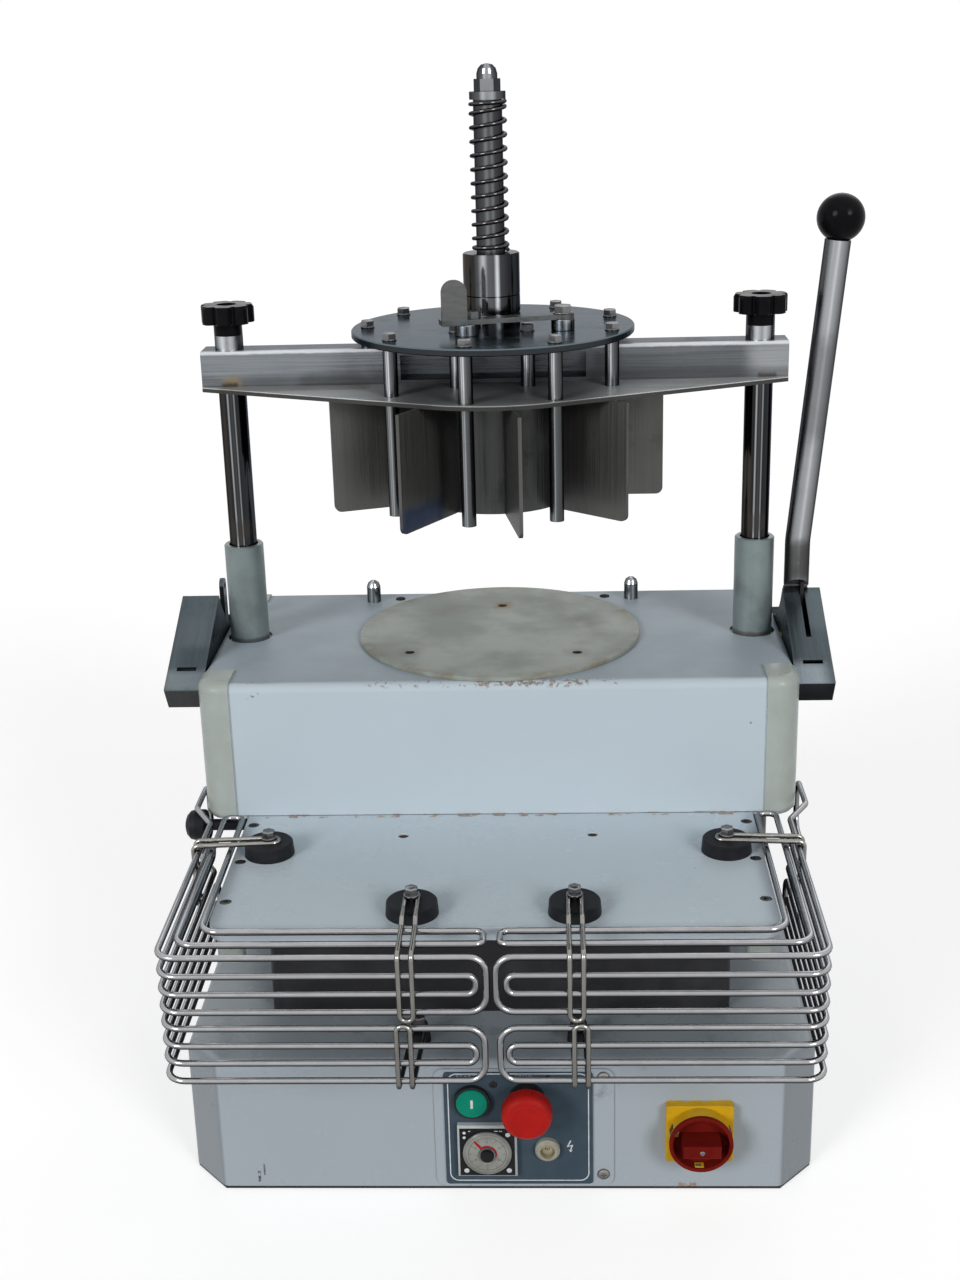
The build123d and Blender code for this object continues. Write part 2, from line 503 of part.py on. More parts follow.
rubber = turned([(0, 0), (12.5, 0), (13.5, 1), (13.5, 9), (12.4, 13.5), (9, 16.6), (5, 18), (0, 18.3)])
rubber = Pos(-BASE_HALF + 2, STOP_Y, STOP_Z) * Rot(0, -90, 0) * rubber
save("side_stop", [stop_pin - rubber, rubber])
deck_screw = bar_z(0, 0, 4.6, DECK_Z1 - 1.4, DECK_Z1 - 0.2)
box_screw = bar_z(98, 103, 4.6, BOX_TOP, BOX_TOP + 0.9)
box_screw -= block(95, 101, 102.5, 103.5, BOX_TOP + 0.4, BOX_TOP + 2)
face_screws = []
for x, z in ((83.8, 107.6), (83.8, 15.8)):
    head = bar_y(x, z, 4.2, FACE - 3.2, FACE - 1.2)
    face_screws.append(head - block(x - 5, x + 5, FACE - 3.5, FACE - 2.4, z - 0.6, z + 0.6))
screws = bolts + [Pos(x, y, 0) * deck_screw for x, y in DECK_SCREWS] + both(box_screw) + face_screws
save("fixing_screws", screws)

# controls
cover = fillet(block(-52.6, 92.3, FACE - 1.2, FACE, 5, 115).edges().filter_by(Axis.Y), 8)
panel = fillet(block(-44.4, 75.3, PANEL, FACE - 1.2, 7, 112.6).edges().filter_by(Axis.Y), 3)
holes = [bar_y(*at, r, PANEL - 1, FACE + 1) for at, r in ((START, 11), (STOP, 11), (LAMP, 8))]
holes.append(block(TIMER[0] - 22, TIMER[0] + 22, PANEL - 1, FACE + 1, TIMER[1] - 22, TIMER[1] + 22))
save("control_cover", cover - holes)
panel -= holes
panel -= [bar_y(-4.4, 101.5, 1.6, PANEL - 1, FACE - 1.2), bar_y(39.4, 108.6, 1.6, PANEL - 1, FACE - 1.2)]
save("control_panel", panel)
start_collar = bar_y(*START, 14.5, PANEL - 4.6, PANEL) + bar_y(*START, 11, PANEL, FACE + 18)
start_collar -= bar_y(*START, 12.9, PANEL - 4.6, PANEL - 0.4)
start_collar -= bar_y(*START, 6 + RUN, PANEL - 5, FACE + 18)
stop_collar = bar_y(*STOP, 14.5, PANEL - 5, PANEL) + bar_y(*STOP, 11, PANEL, FACE + 18)
stop_collar -= bar_y(*STOP, 8 + RUN, PANEL - 5, FACE + 18)
save("button_collars", [start_collar, stop_collar])
cap = bar_y(*START, 12.6, PANEL - 6, PANEL - 4.2)
cap = chamfer(cap.edges().group_by(Axis.Y)[0], 0.6)
save("start_button", cap + bar_y(*START, 6, PANEL - 4.2, FACE + 20))
mushroom = bar_y(*STOP, 20, PANEL - 31, PANEL - 17)
mushroom = fillet(mushroom.edges().group_by(Axis.Y)[0], 6)
mushroom += bar_y(*STOP, 12.5, PANEL - 17, PANEL - 12)
save("estop_button", mushroom + bar_y(*STOP, 8, PANEL - 12, FACE + 20))
case = block(TIMER[0] - 24, TIMER[0] + 24, PANEL - 6, PANEL, TIMER[1] - 24, TIMER[1] + 24)
case = chamfer(case.faces().sort_by(Axis.Y)[0].edges(), 1.5)
case += block(TIMER[0] - 22, TIMER[0] + 22, PANEL, FACE + 50, TIMER[1] - 22, TIMER[1] + 22)
save("timer_body", case - bar_y(*TIMER, 3 + RUN, PANEL - 6, PANEL + 14))
dial = bar_y(*TIMER, 19.3, PANEL - 9, PANEL - 6.4)
dial = chamfer(dial.edges().group_by(Axis.Y)[0], 0.6)
dial += bar_y(*TIMER, 8, PANEL - 14, PANEL - 9) + bar_y(*TIMER, 3, PANEL - 6.4, PANEL + 13)
save("timer_dial", dial)
lamp = chamfer(bar_y(*LAMP, 10, PANEL - 6, PANEL).edges().group_by(Axis.Y)[0], 2)
lamp += bar_y(*LAMP, 8, PANEL, FACE + 14)
save("indicator_lamp", lamp - bar_y(*LAMP, 6, PANEL - 6, PANEL - 2.5))
mount = block(SWITCH[0] - 27, SWITCH[0] + 27, SWITCH_PLATE, FACE, SWITCH[1] - 26, SWITCH[1] + 26)
mount = fillet(mount.edges().filter_by(Axis.Y), 3)
mount = chamfer(mount.faces().sort_by(Axis.Y)[0].edges(), 1)
mount += bar_y(*SWITCH, 25.2, SWITCH_RIM + 3, SWITCH_PLATE) + bar_y(*SWITCH, 11, FACE, FACE + 16)
mount -= bar_y(*SWITCH, 24, SWITCH_RIM + 3, SWITCH_PLATE - 0.8)
save("switch_plate", mount - bar_y(*SWITCH, 5 + RUN, SWITCH_PLATE - 1, FACE + 16))
grip = bar_y(*SWITCH, 25.5, SWITCH_RIM, SWITCH_RIM + 2.6)
grip += bar_y(*SWITCH, 23.6, SWITCH_RIM + 2.6, SWITCH_PLATE - 1.2)
grip -= bar_y(*SWITCH, 22.4, SWITCH_RIM, SWITCH_RIM + 10)
handle = Pos(SWITCH[0], SWITCH_RIM, SWITCH[1]) * block(-15, 15, -11, 11, -5.5, 5.5)
handle = chamfer(handle.faces().sort_by(Axis.Y)[0].edges(), 1)
save("switch_knob", grip + handle + bar_y(*SWITCH, 5, SWITCH_PLATE - 1.2, FACE + 18))

# lever with its gear sector
foot_x, foot_z, bend_z = COVER_X0 + 12, LEVER_Z + 59, LEVER_Z + 99
head_x, head_z = foot_x + LEVER_OUT, bend_z + LEVER_H
path = [(foot_x, 0, foot_z, 0), (foot_x, 0, bend_z, 60), (head_x, 0, head_z, 0)]
tube = bent_bar(path, Circle(11)) - bent_bar([(foot_x, 0, foot_z + 19, 0)] + path[1:], Circle(9))
tongue = block(SLOT_X - 1.5, SLOT_X + 1.5, -6.5, 6.5, LEVER_Z, foot_z + 15)
tube -= tongue
tube -= prism_x([(-12, foot_z - 1), (-2, foot_z - 1), (-12, foot_z + 8)], foot_x - 12, foot_x + 12)
save("lever_tube", tube)
lean = math.degrees(math.atan2(head_x - foot_x, head_z - bend_z))
ball = Pos(head_x, 0, head_z) * Rot(0, lean, 0)
grip = (Pos(0, 0, 18) * Sphere(20) & block(-30, 30, -30, 30, 0, 50)) + bar_z(0, 0, 9, -14, 1)
save("lever_ball", ball * grip)
hub = bar_x(0, LEVER_Z, 12.5, COVER_X0 + 5, COVER_X0 + 28) + bar_x(0, LEVER_Z, 10, SECTOR_X0, COVER_X0 + 5)
hub += tongue
step = 2 * math.pi / SECTOR_TEETH
teeth = gear_points(SECTOR_TEETH, (0, LEVER_Z), [MESH + step * k for k in range(-10, 3)])
save("lever_hub", hub + prism_x([(0, LEVER_Z)] + teeth, SECTOR_X0, SECTOR_X1))

# cross-shaft with its pinions
axis = (CROSS_Y, CROSS_Z)
shaft = bar_x(*axis, 10, -COLUMN_X - 11, SECTOR_X1 + 0.2)
half_tooth = math.pi / PINION_TEETH
shaft += gear(PINION_TEETH, axis, MESH + math.pi + half_tooth, SECTOR_X0 - 0.2, SECTOR_X1 + 0.2)
shaft += [gear(RACK_TEETH, axis, 0, s * COLUMN_X - 7, s * COLUMN_X + 7) for s in (-1, 1)]
save("cross_shaft", shaft)

# columns with their racks
pitch = math.pi * MODULE
column = bar_z(COLUMN_X, 0, COLUMN_R, COLUMN_FOOT, PLATE_Z0) + bar_z(COLUMN_X, 0, STUD_R, PLATE_Z0, STUD_TOP)
column += bar_z(COLUMN_X, 0, ROD_R, ROD_FOOT, COLUMN_FOOT)
tip, root = RACK_LINE - ADDENDUM, RACK_LINE + DEDENDUM
lean = math.tan(PRESSURE)
gaps = []
for k in range(-3, 23):
    z = CROSS_Z + k * pitch
    wide = pitch / 4 + TOOTH_THIN / 2 + (ADDENDUM + 1.4) * lean
    slim = pitch / 4 + TOOTH_THIN / 2 - DEDENDUM * lean
    gap = [(tip - 1.4, z - wide), (root, z - slim), (root, z + slim), (tip - 1.4, z + wide)]
    gaps.append(prism_x(gap, COLUMN_X - 13, COLUMN_X + 13))
flat = block(COLUMN_X - 13, COLUMN_X + 13, -14, tip, CROSS_Z - 3.5 * pitch, CROSS_Z + 22.5 * pitch)
column -= [flat] + gaps
save("column_right", column)
save("column_left", mirror(column, Plane.YZ))

# press head
beam = block(-BEAM_HALF, BEAM_HALF, -15, 15, BEAM_Z0, BEAM_Z1)
beam -= block(-BEAM_HALF + 3, BEAM_HALF - 3, -12, 12, BEAM_Z0 + 3, BEAM_Z1 - 3)
beam -= block(-79, 79, -16, -11, BEAM_Z0 + 3, BEAM_Z1 - 5.7)
beam -= [bar_z(s * COLUMN_X, 0, STUD_R, BEAM_Z0, BEAM_Z1) for s in (-1, 1)]
beam -= bar_z(*polar(PUSHER_R, PUSHER_ANGLES[7]), 6.4, BEAM_Z0, BEAM_Z1)
beam -= bar_z(0, 0, SPINDLE_R, BEAM_Z1 - 4, BEAM_Z1)
save("press_beam", beam)
tangent = math.degrees(math.acos((PLATE_R - 16) / BEAM_HALF))
turns = [math.radians(a) for a in (tangent, -tangent)]
edge = [(PLATE_R * math.cos(a), PLATE_R * math.sin(a)) for a in turns]
plate = bar_z(0, 0, PLATE_R, PLATE_Z0, BEAM_Z0)
for s in (-1, 1):
    web = [(s * x, y) for x, y in edge + [(BEAM_HALF, -16), (BEAM_HALF, 16)]]
    plate += prism_z(web, PLATE_Z0, BEAM_Z0)
pushers = [polar(PUSHER_R, a) for a in PUSHER_ANGLES] + INNER_PUSHERS
plate -= [bar_z(x, y, 6.4, PLATE_Z0, BEAM_Z0) for x, y in pushers]
plate -= [bar_z(s * COLUMN_X, 0, STUD_R, PLATE_Z0, BEAM_Z0) for s in (-1, 1)]
save("knife_plate", plate)
inner, outer = KNIFE_R - KNIFE_T / 2, KNIFE_R + KNIFE_T / 2
knife = bar_z(0, 0, outer, KNIFE_Z0, PLATE_Z0) - bar_z(0, 0, inner, KNIFE_Z0, PLATE_Z0)
save("knife_tube", knife + block(-KNIFE_T / 2, KNIFE_T / 2, -inner - 1, inner + 1, KNIFE_Z0, PLATE_Z0))
blade = block(outer - 2, BLADE_R, -KNIFE_T / 2, KNIFE_T / 2, KNIFE_Z0, PLATE_Z0)
blade = fillet(blade.edges().filter_by(Axis.Y).group_by(Axis.Z)[0].sort_by(Axis.X)[-1], 6)
blade -= bar_z(0, 0, outer, KNIFE_Z0, PLATE_Z0)
save("knife_blades", [Rot(0, 0, a - 90) * blade for a in BLADE_ANGLES])
spindle = bar_z(0, 0, SPINDLE_R, BEAM_Z0 + 3, SPINDLE_TOP) + bar_z(0, 0, 6, SPINDLE_TOP, SPINDLE_TOP + 16.5)
save("spindle", spindle)
nut = bar_z(0, 0, 15, 0, 6.2) + hex_head(0, 0, 6.2, 19, 9.8)
nut += turned([(0, 16), (8.6, 16), (8.6, 20), (7.4, 24.1), (4.6, 27), (0, 28)])
save("spindle_nut", Pos(0, 0, SPINDLE_TOP) * (nut - bar_z(0, 0, 6, 0, 16.5)))
bush_z = (BEAM_Z1, STUD_TOP - 4)
bush = bar_z(COLUMN_X, 0, 12.2, *bush_z) - bar_z(COLUMN_X, 0, STUD_R, *bush_z)
save("knob_bushes", both(bush))
knob = bar_z(0, 0, 17.5, 6.4, 21.8)
knob += [bar_z(*polar(16.2, 360 * k / 7), 7, 6.4, 21.8) for k in range(7)]
knob &= turned([(0, 6.4), (22.6, 6.4), (23.4, 7.4), (23.4, 18.6), (21.5, 21.8), (0, 21.8)])
knob -= bar_z(0, 0, 8.3, 19.6, 22)
knob += bar_z(0, 0, 12.2, RUN - 4, 6.4)
knob -= bar_z(0, 0, STUD_R + RUN, -5, 1)
save("clamp_knob_left", Pos(-COLUMN_X, 0, STUD_TOP) * knob)
save("clamp_knob_right", Pos(COLUMN_X, 0, STUD_TOP) * knob)

# spring between the sleeve and the nut: one wire, close-wound at its ends
def biarc(p, t, q, u):
    v, k = q - p, 2 * (1 - t.dot(u))
    d = (math.sqrt(v.dot(t + u) ** 2 + k * v.dot(v)) - v.dot(t + u)) / k
    knees = (p + t * d, q - u * d)
    joint = (knees[0] + knees[1]) / 2
    arcs = []
    for start, knee, end in ((p, knees[0], joint), (joint, knees[1], q)):
        back = (start + end) / 2 - knee
        centre = knee + back * (d * d / back.length ** 2)
        radius = (start - centre).length
        arcs.append(ThreePointArc(start, centre + (knee - centre).normalized() * radius, end))
    return arcs


coil_z0, coil_z1 = SPRING_Z0 + SEAT_GAP + WIRE_R, SPINDLE_TOP - WIRE_R
closed = [(2 * WIRE_R + COIL_GAP) / 2] * (2 * CLOSED_TURNS)
open_count = int(2 * SPRING_TURNS) - 2 * len(closed)
rises = closed + [(coil_z1 - coil_z0 - 2 * sum(closed)) / open_count] * open_count + closed
knots = [coil_z0 + sum(rises[:k]) for k in range(len(rises) + 1)]
slopes = [(rises[max(k - 1, 0)] + rises[min(k, len(rises) - 1)]) / 2 / math.pi for k in range(len(knots))]
places = [Vector(SPRING_R * (-1) ** k, 0, z) for k, z in enumerate(knots)]
ways = [Vector(0, SPRING_R * (-1) ** k, slope).normalized() for k, slope in enumerate(slopes)]
arcs = []
for k in range(len(rises)):
    arcs += biarc(places[k], ways[k], places[k + 1], ways[k + 1])
save("spindle_spring", pipe(arcs, thin_wire(WIRE_R)))
samples = [arc @ (i / 6) for arc in arcs for i in range(6)]
turn = 24
gaps = [(p - q).length for i, p in enumerate(samples) for q in samples[i + turn // 2:]]
print("spring: least gap between turns", round(min(gaps) - 2 * WIRE_R, 2))

# ejector
plate = chamfer(bar_z(0, 0, EJECTOR_R, EJECTOR_Z0, EJECTOR_Z1).edges(), 0.8)
save("ejector_plate", plate - bar_z(0, 0, 24, EJECTOR_Z0, EJECTOR_Z1))
bore, foot = SPINDLE_R + RUN, BEAM_Z1 + 0.3
wall = [(bore, foot), (24, foot)]
for groove in (foot + 27.2, foot + 42.0):
    wall += [(24, groove - 0.6), (23.4, groove), (24, groove + 0.6)]
sleeve = turned(wall + [(24, SPRING_Z0 - 1), (23, SPRING_Z0), (bore, SPRING_Z0)])
save("ejector_sleeve", sleeve)
save("ejector_rods", [bar_z(x, y, 6, KNIFE_Z0 + 2, EJECTOR_Z0) for x, y in pushers])
bolts = [hex_head(x, y, EJECTOR_Z1, 13, 5.4) for x, y in pushers]
pivot = bar_z(*PIVOT, 9.8, EJECTOR_Z1, LATCH_Z0 - 0.1) + bar_z(*PIVOT, 5, LATCH_Z0 - 0.1, LATCH_Z1 + 0.2)
pivot += hex_head(*PIVOT, LATCH_Z1 + 0.2, 17, 7)
bolts += [pivot, bar_z(*REST_POST, 9.8, EJECTOR_Z1, LATCH_Z0 - 0.2)]
save("ejector_bolts", bolts)
span = math.hypot(PIVOT[0] - REST_POST[0], PIVOT[1] - REST_POST[1])
turn = math.degrees(math.atan2(PIVOT[1] - REST_POST[1], PIVOT[0] - REST_POST[0]))
bar = block(-span - 22, 0, -7, 7, LATCH_Z0, LATCH_Z1) + bar_z(0, 0, 9.5, LATCH_Z0, LATCH_Z1)
tab = block(-span - 22, -span - 1, -9.0, -5.0, LATCH_Z0, LATCH_Z1 + 33)
tab = fillet(tab.edges().filter_by(Axis.Y).group_by(Axis.Z)[-1], 10)
bar += tab
bar += hex_head(-span + 6, 1, LATCH_Z1, 11, 6)
bar -= bar_z(0, 0, 5 + RUN, LATCH_Z0, LATCH_Z1)
save("latch_bar", Pos(*PIVOT, 0) * Rot(0, 0, turn) * bar)

os.makedirs("parts", exist_ok=True)
for name, solid in PARTS.items():
    export_step(solid, f"parts/{name}.step")
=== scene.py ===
# %% [markdown]
# # Dressing a bench-top dough divider rounder
# The solids of this machine come from its CAD source: a painted base with a guarded front, an upper housing
# with a round plate for the dough, and a press head with a ring of knives that a side lever pulls down.
# This lesson keeps those solids where they are and gives them what CAD leaves out: round guard rods, screws,
# printing on the control panel, and finishes with brush lines, chipped paint, stains and dust, and with
# painted reflections, painted highlights and painted shade.

# %% Load the frame
import math

import bmesh
import bpy
from mathutils import Matrix, Vector


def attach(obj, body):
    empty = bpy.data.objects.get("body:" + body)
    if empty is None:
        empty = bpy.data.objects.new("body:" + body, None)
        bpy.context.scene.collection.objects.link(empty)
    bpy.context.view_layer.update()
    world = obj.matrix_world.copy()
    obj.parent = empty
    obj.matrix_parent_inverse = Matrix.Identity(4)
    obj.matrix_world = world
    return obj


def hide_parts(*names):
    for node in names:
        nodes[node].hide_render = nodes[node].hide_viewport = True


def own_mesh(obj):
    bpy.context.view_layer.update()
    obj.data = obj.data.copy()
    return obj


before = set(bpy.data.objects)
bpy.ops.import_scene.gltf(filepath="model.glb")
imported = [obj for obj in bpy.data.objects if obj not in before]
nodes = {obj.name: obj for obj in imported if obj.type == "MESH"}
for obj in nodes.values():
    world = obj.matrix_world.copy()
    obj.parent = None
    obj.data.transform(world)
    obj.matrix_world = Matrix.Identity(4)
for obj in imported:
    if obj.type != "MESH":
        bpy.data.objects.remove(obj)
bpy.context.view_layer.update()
MM = 0.001

# %% [markdown]
# ## Camera
# The photograph was taken from just above the press head, a little to the right, with a normal lens. The
# pinhole that fits the straight edges of the base and the ellipses of the round plates was worked out
# beforehand, so the camera is set by its angles and its place. Building its matrix from three directions
# avoids any doubt about the order of turns.

# %% Camera at the photograph's angle
PITCH, YAW, ROLL = 19.28, -2.54, -1.56    # degrees
CAMERA_AT = (0.0476, -1.3998, 0.8954)     # metres
SENSOR_WIDTH, LENS = 36.0, 64.88          # mm
pitch, yaw, roll = (math.radians(angle) for angle in (PITCH, YAW, ROLL))
forward = Vector((math.sin(yaw) * math.cos(pitch), math.cos(yaw) * math.cos(pitch), -math.sin(pitch)))
right = Vector((math.cos(yaw), -math.sin(yaw), 0))
up = right.cross(forward)
turned_right = right * math.cos(roll) + up * math.sin(roll)
turned_up = up * math.cos(roll) - right * math.sin(roll)
bpy.ops.object.camera_add()
camera = bpy.context.object
camera.name = "photo_camera"
place = Matrix((turned_right, turned_up, -forward)).transposed().to_4x4()
place.translation = CAMERA_AT
camera.matrix_world = place
camera.data.sensor_fit = "HORIZONTAL"
camera.data.sensor_width = SENSOR_WIDTH
camera.data.lens = LENS
camera.data.clip_start = 0.05
bpy.context.scene.camera = camera
print("camera at", [round(v, 3) for v in camera.location], "lens", camera.data.lens)

# %% [markdown]
# ## Tools for finishes
# A finish is a small network of nodes. Writing `tree.links.new` for every wire soon hides the idea, so a few
# helpers add a node with its inputs, a math node, a colour mix or a change of range. Everything reads Object
# coordinates: the pieces sit at the origin, so those coordinates are metres in the frame of the machine, and
# a stain can be put at a real place.

# %% Adding and wiring nodes
def wire(tree, value, socket):
    """Links a socket or sets a value."""
    if isinstance(value, bpy.types.NodeSocket):
        tree.links.new(value, socket)
    else:
        socket.default_value = value


def fill(tree, node, **inputs):
    """Links or sets inputs of a node by their names, with _ for a space."""
    for key, value in inputs.items():
        wire(tree, value, node.inputs[key.replace("_", " ")])
    return node


def add(tree, kind, options=None, **inputs):
    """Adds a shader node with its settings and its inputs."""
    node = tree.nodes.new("ShaderNode" + kind)
    for key, value in (options or {}).items():
        setattr(node, key, value)
    return fill(tree, node, **inputs)


def calc(tree, operation, a, b=0.0, clamp=False):
    """A math node's result."""
    node = tree.nodes.new("ShaderNodeMath")
    node.operation, node.use_clamp = operation, clamp
    wire(tree, a, node.inputs[0])
    wire(tree, b, node.inputs[1])
    return node.outputs[0]


def vector_calc(tree, operation, a, b=(0, 0, 0)):
    """A vector math node's outputs."""
    node = add(tree, "VectorMath", {"operation": operation})
    wire(tree, a, node.inputs[0])
    wire(tree, b, node.inputs[1])
    return node.outputs


print("node helpers ready")

# %% Colours, ranges and groups
def toned(colour, factor):
    """A colour made darker or lighter."""
    return tuple(c * factor for c in colour)


def blend_colour(tree, factor, a, b):
    """Colour a, going to colour b as the factor rises."""
    node = tree.nodes.new("ShaderNodeMix")
    node.data_type = "RGBA"
    wire(tree, factor, node.inputs[0])
    wire(tree, a if not isinstance(a, tuple) else (*a, 1), node.inputs[6])
    wire(tree, b if not isinstance(b, tuple) else (*b, 1), node.inputs[7])
    return node.outputs[2]


def spread(tree, value, low, high, to_low=0.0, to_high=1.0, smooth=True):
    """Maps the range low..high to another one, with soft ends."""
    options = {"interpolation_type": "SMOOTHSTEP" if smooth else "LINEAR"}
    node = add(tree, "MapRange", options, Value=value, From_Min=low, From_Max=high, To_Min=to_low,
               To_Max=to_high)
    return node.outputs[0]


def new_group(name, inputs, outputs):
    """An empty shader node group with named sockets."""
    tree = bpy.data.node_groups.new(name, "ShaderNodeTree")
    kinds = {"value": "NodeSocketFloat", "vector": "NodeSocketVector"}
    for label, kind, default in inputs:
        socket = tree.interface.new_socket(label, in_out="INPUT", socket_type=kinds[kind])
        socket.default_value = default
    for label, kind in outputs:
        tree.interface.new_socket(label, in_out="OUTPUT", socket_type=kinds[kind])
    source = tree.nodes.new("NodeGroupInput")
    sink = tree.nodes.new("NodeGroupOutput")
    return tree, source.outputs, sink.inputs


def use(tree, group, **inputs):
    """Places a node group in a material."""
    node = tree.nodes.new("ShaderNodeGroup")
    node.node_tree = group
    return fill(tree, node, **inputs).outputs


def faces_along(tree, axis):
    """How far a surface faces along X, Y or Z, from -1 to 1."""
    normal = add(tree, "NewGeometry").outputs["Normal"]
    return add(tree, "SeparateXYZ", None, Vector=normal).outputs[axis]


print("colour and group helpers ready")

# %% [markdown]
# ## Shared effects
# Four effects come back on many parts, so each is a node group that is built once. *Clouds* is slow
# unevenness. *Brush lines* is noise pulled out along one direction, as a belt sander leaves on steel. *Patch*
# is a soft box at a real place with a ragged edge, for rust, chips, heat stains and rubbed spots, and also
# for painted highlights and painted shade. *Specks* scatters small dots.

# %% Clouds
clouds, given, result = new_group("clouds", [("Vector", "vector", (0, 0, 0)), ("Scale", "value", 20.0),
                                             ("Low", "value", 0.35), ("High", "value", 0.65)],
                                  [("Amount", "value")])
noise = add(clouds, "TexNoise", None, Vector=given["Vector"], Scale=given["Scale"], Detail=4.0, Roughness=0.6)
wire(clouds, spread(clouds, noise.outputs[0], given["Low"], given["High"]), result["Amount"])
print("group:", clouds.name)

# %% Brush lines
brush_lines, given, result = new_group("brush_lines", [("Vector", "vector", (0, 0, 0)),
                                                       ("Stretch", "vector", (8, 900, 900))],
                                       [("Lines", "value"), ("Streaks", "value")])
pulled = vector_calc(brush_lines, "MULTIPLY", given["Vector"], given["Stretch"])[0]
fine = add(brush_lines, "TexNoise", None, Vector=pulled, Scale=1.0, Detail=3.0, Roughness=0.7)
coarse = add(brush_lines, "TexNoise", None, Vector=pulled, Scale=0.16, Detail=2.0, Roughness=0.5)
wire(brush_lines, spread(brush_lines, fine.outputs[0], 0.3, 0.7), result["Lines"])
wire(brush_lines, spread(brush_lines, coarse.outputs[0], 0.35, 0.7), result["Streaks"])
print("group:", brush_lines.name)

# %% Patch
patch, given, result = new_group("patch", [("Vector", "vector", (0, 0, 0)), ("Centre", "vector", (0, 0, 0)),
                                           ("Half", "vector", (0.01, 0.01, 0.01)), ("Soft", "value", 0.005),
                                           ("Ragged", "value", 0.0), ("Grain", "value", 200.0)],
                                 [("Mask", "value")])
ragged = add(patch, "TexNoise", None, Vector=given["Vector"], Scale=given["Grain"], Detail=4.0,
             Roughness=0.65)
shift = calc(patch, "MULTIPLY", calc(patch, "SUBTRACT", ragged.outputs[0], 0.5), given["Ragged"])
away = vector_calc(patch, "SUBTRACT", given["Vector"], given["Centre"])[0]
size = vector_calc(patch, "ABSOLUTE", away)[0]
past = vector_calc(patch, "SUBTRACT", size, given["Half"])[0]
outside = vector_calc(patch, "MAXIMUM", past)[0]
farthest = vector_calc(patch, "LENGTH", outside)["Value"]
edge = calc(patch, "ADD", farthest, shift)
wire(patch, calc(patch, "SUBTRACT", 1.0, spread(patch, edge, 0.0, given["Soft"])), result["Mask"])


def patch_mask(tree, where, centre, half, soft, ragged, grain):
    """The mask of one patch, with its place and sizes in metres."""
    return use(tree, patch, Vector=where, Centre=centre, Half=half, Soft=soft, Ragged=ragged,
               Grain=grain)["Mask"]


print("group:", patch.name)

# %% Specks
specks, given, result = new_group("specks", [("Vector", "vector", (0, 0, 0)), ("Scale", "value", 60.0),
                                             ("Size", "value", 0.12), ("Share", "value", 0.3)],
                                  [("Mask", "value")])
cells = add(specks, "TexVoronoi", None, Vector=given["Vector"], Scale=given["Scale"])
dot = calc(specks, "LESS_THAN", cells.outputs["Distance"], given["Size"])
lottery = add(specks, "SeparateColor")
wire(specks, cells.outputs["Color"], lottery.inputs[0])
wire(specks, calc(specks, "MULTIPLY", dot, calc(specks, "LESS_THAN", lottery.outputs[0], given["Share"])),
     result["Mask"])
print("group:", specks.name)

# %% [markdown]
# ## Paint
# The casings are steel sheet with a pale bluish-white stoved paint. Up close it is a little uneven, dusty and
# dotted with marks, and it is chipped to the brown steel where trays knock against it. Each casing gets its
# own material, because the wear sits at its own places and because light is partly painted into it: the paint
# is lighter on the deck and darker on the base, with painted shade over the top of the box and on the base's
# side faces. One function builds them all from the shared effects.

# %% Start a finish and give it to a part
def start_finish(name):
    """A material with its Principled BSDF and Object coordinates."""
    material = bpy.data.materials.new(name)
    material.use_nodes = True
    tree = material.node_tree
    shader = tree.nodes["Principled BSDF"]
    return material, tree, shader, add(tree, "TexCoord").outputs["Object"]


def bump(tree, shader, height, strength, distance):
    """Fine relief."""
    node = add(tree, "Bump", None, Height=height, Strength=strength, Distance=distance)
    tree.links.new(node.outputs[0], shader.inputs["Normal"])


def dress(material, *names):
    """Gives CAD nodes a finish."""
    for name in names:
        mesh = nodes[name].data
        mesh.materials.clear()
        mesh.materials.append(material)
    print(material.name, "->", ", ".join(names))


print("finishes can be started and given")

# %% Paint finish
# Each kind of wear, and the painted shade, has two tones, a strength and a width over which its spots fade.
WEAR_AND_SHADE = {"chip": ((0.145, 0.10, 0.08), (0.33, 0.30, 0.28), 1.0, 0.06),
        "rust": ((0.20, 0.095, 0.04), (0.36, 0.25, 0.16), 0.85, 0.06),
        "smudge": ((0.045, 0.042, 0.045), (0.10, 0.10, 0.11), 0.6, 0.3),
        "dust": ((0.36, 0.36, 0.34), (0.42, 0.42, 0.40), 0.18, 0.3),
        "dark": ((0.02, 0.02, 0.02), (0.05, 0.045, 0.04), 0.95, 0.06),
        # The last kind is no wear but painted shade, which darkens the top of the box.
        "grime_and_shade": ((0.275, 0.33, 0.37), (0.315, 0.375, 0.415), 0.85, 0.06)}
SUNK_WEAR = ("chip", "rust")
SPECK_BROWN = (0.16, 0.13, 0.11)


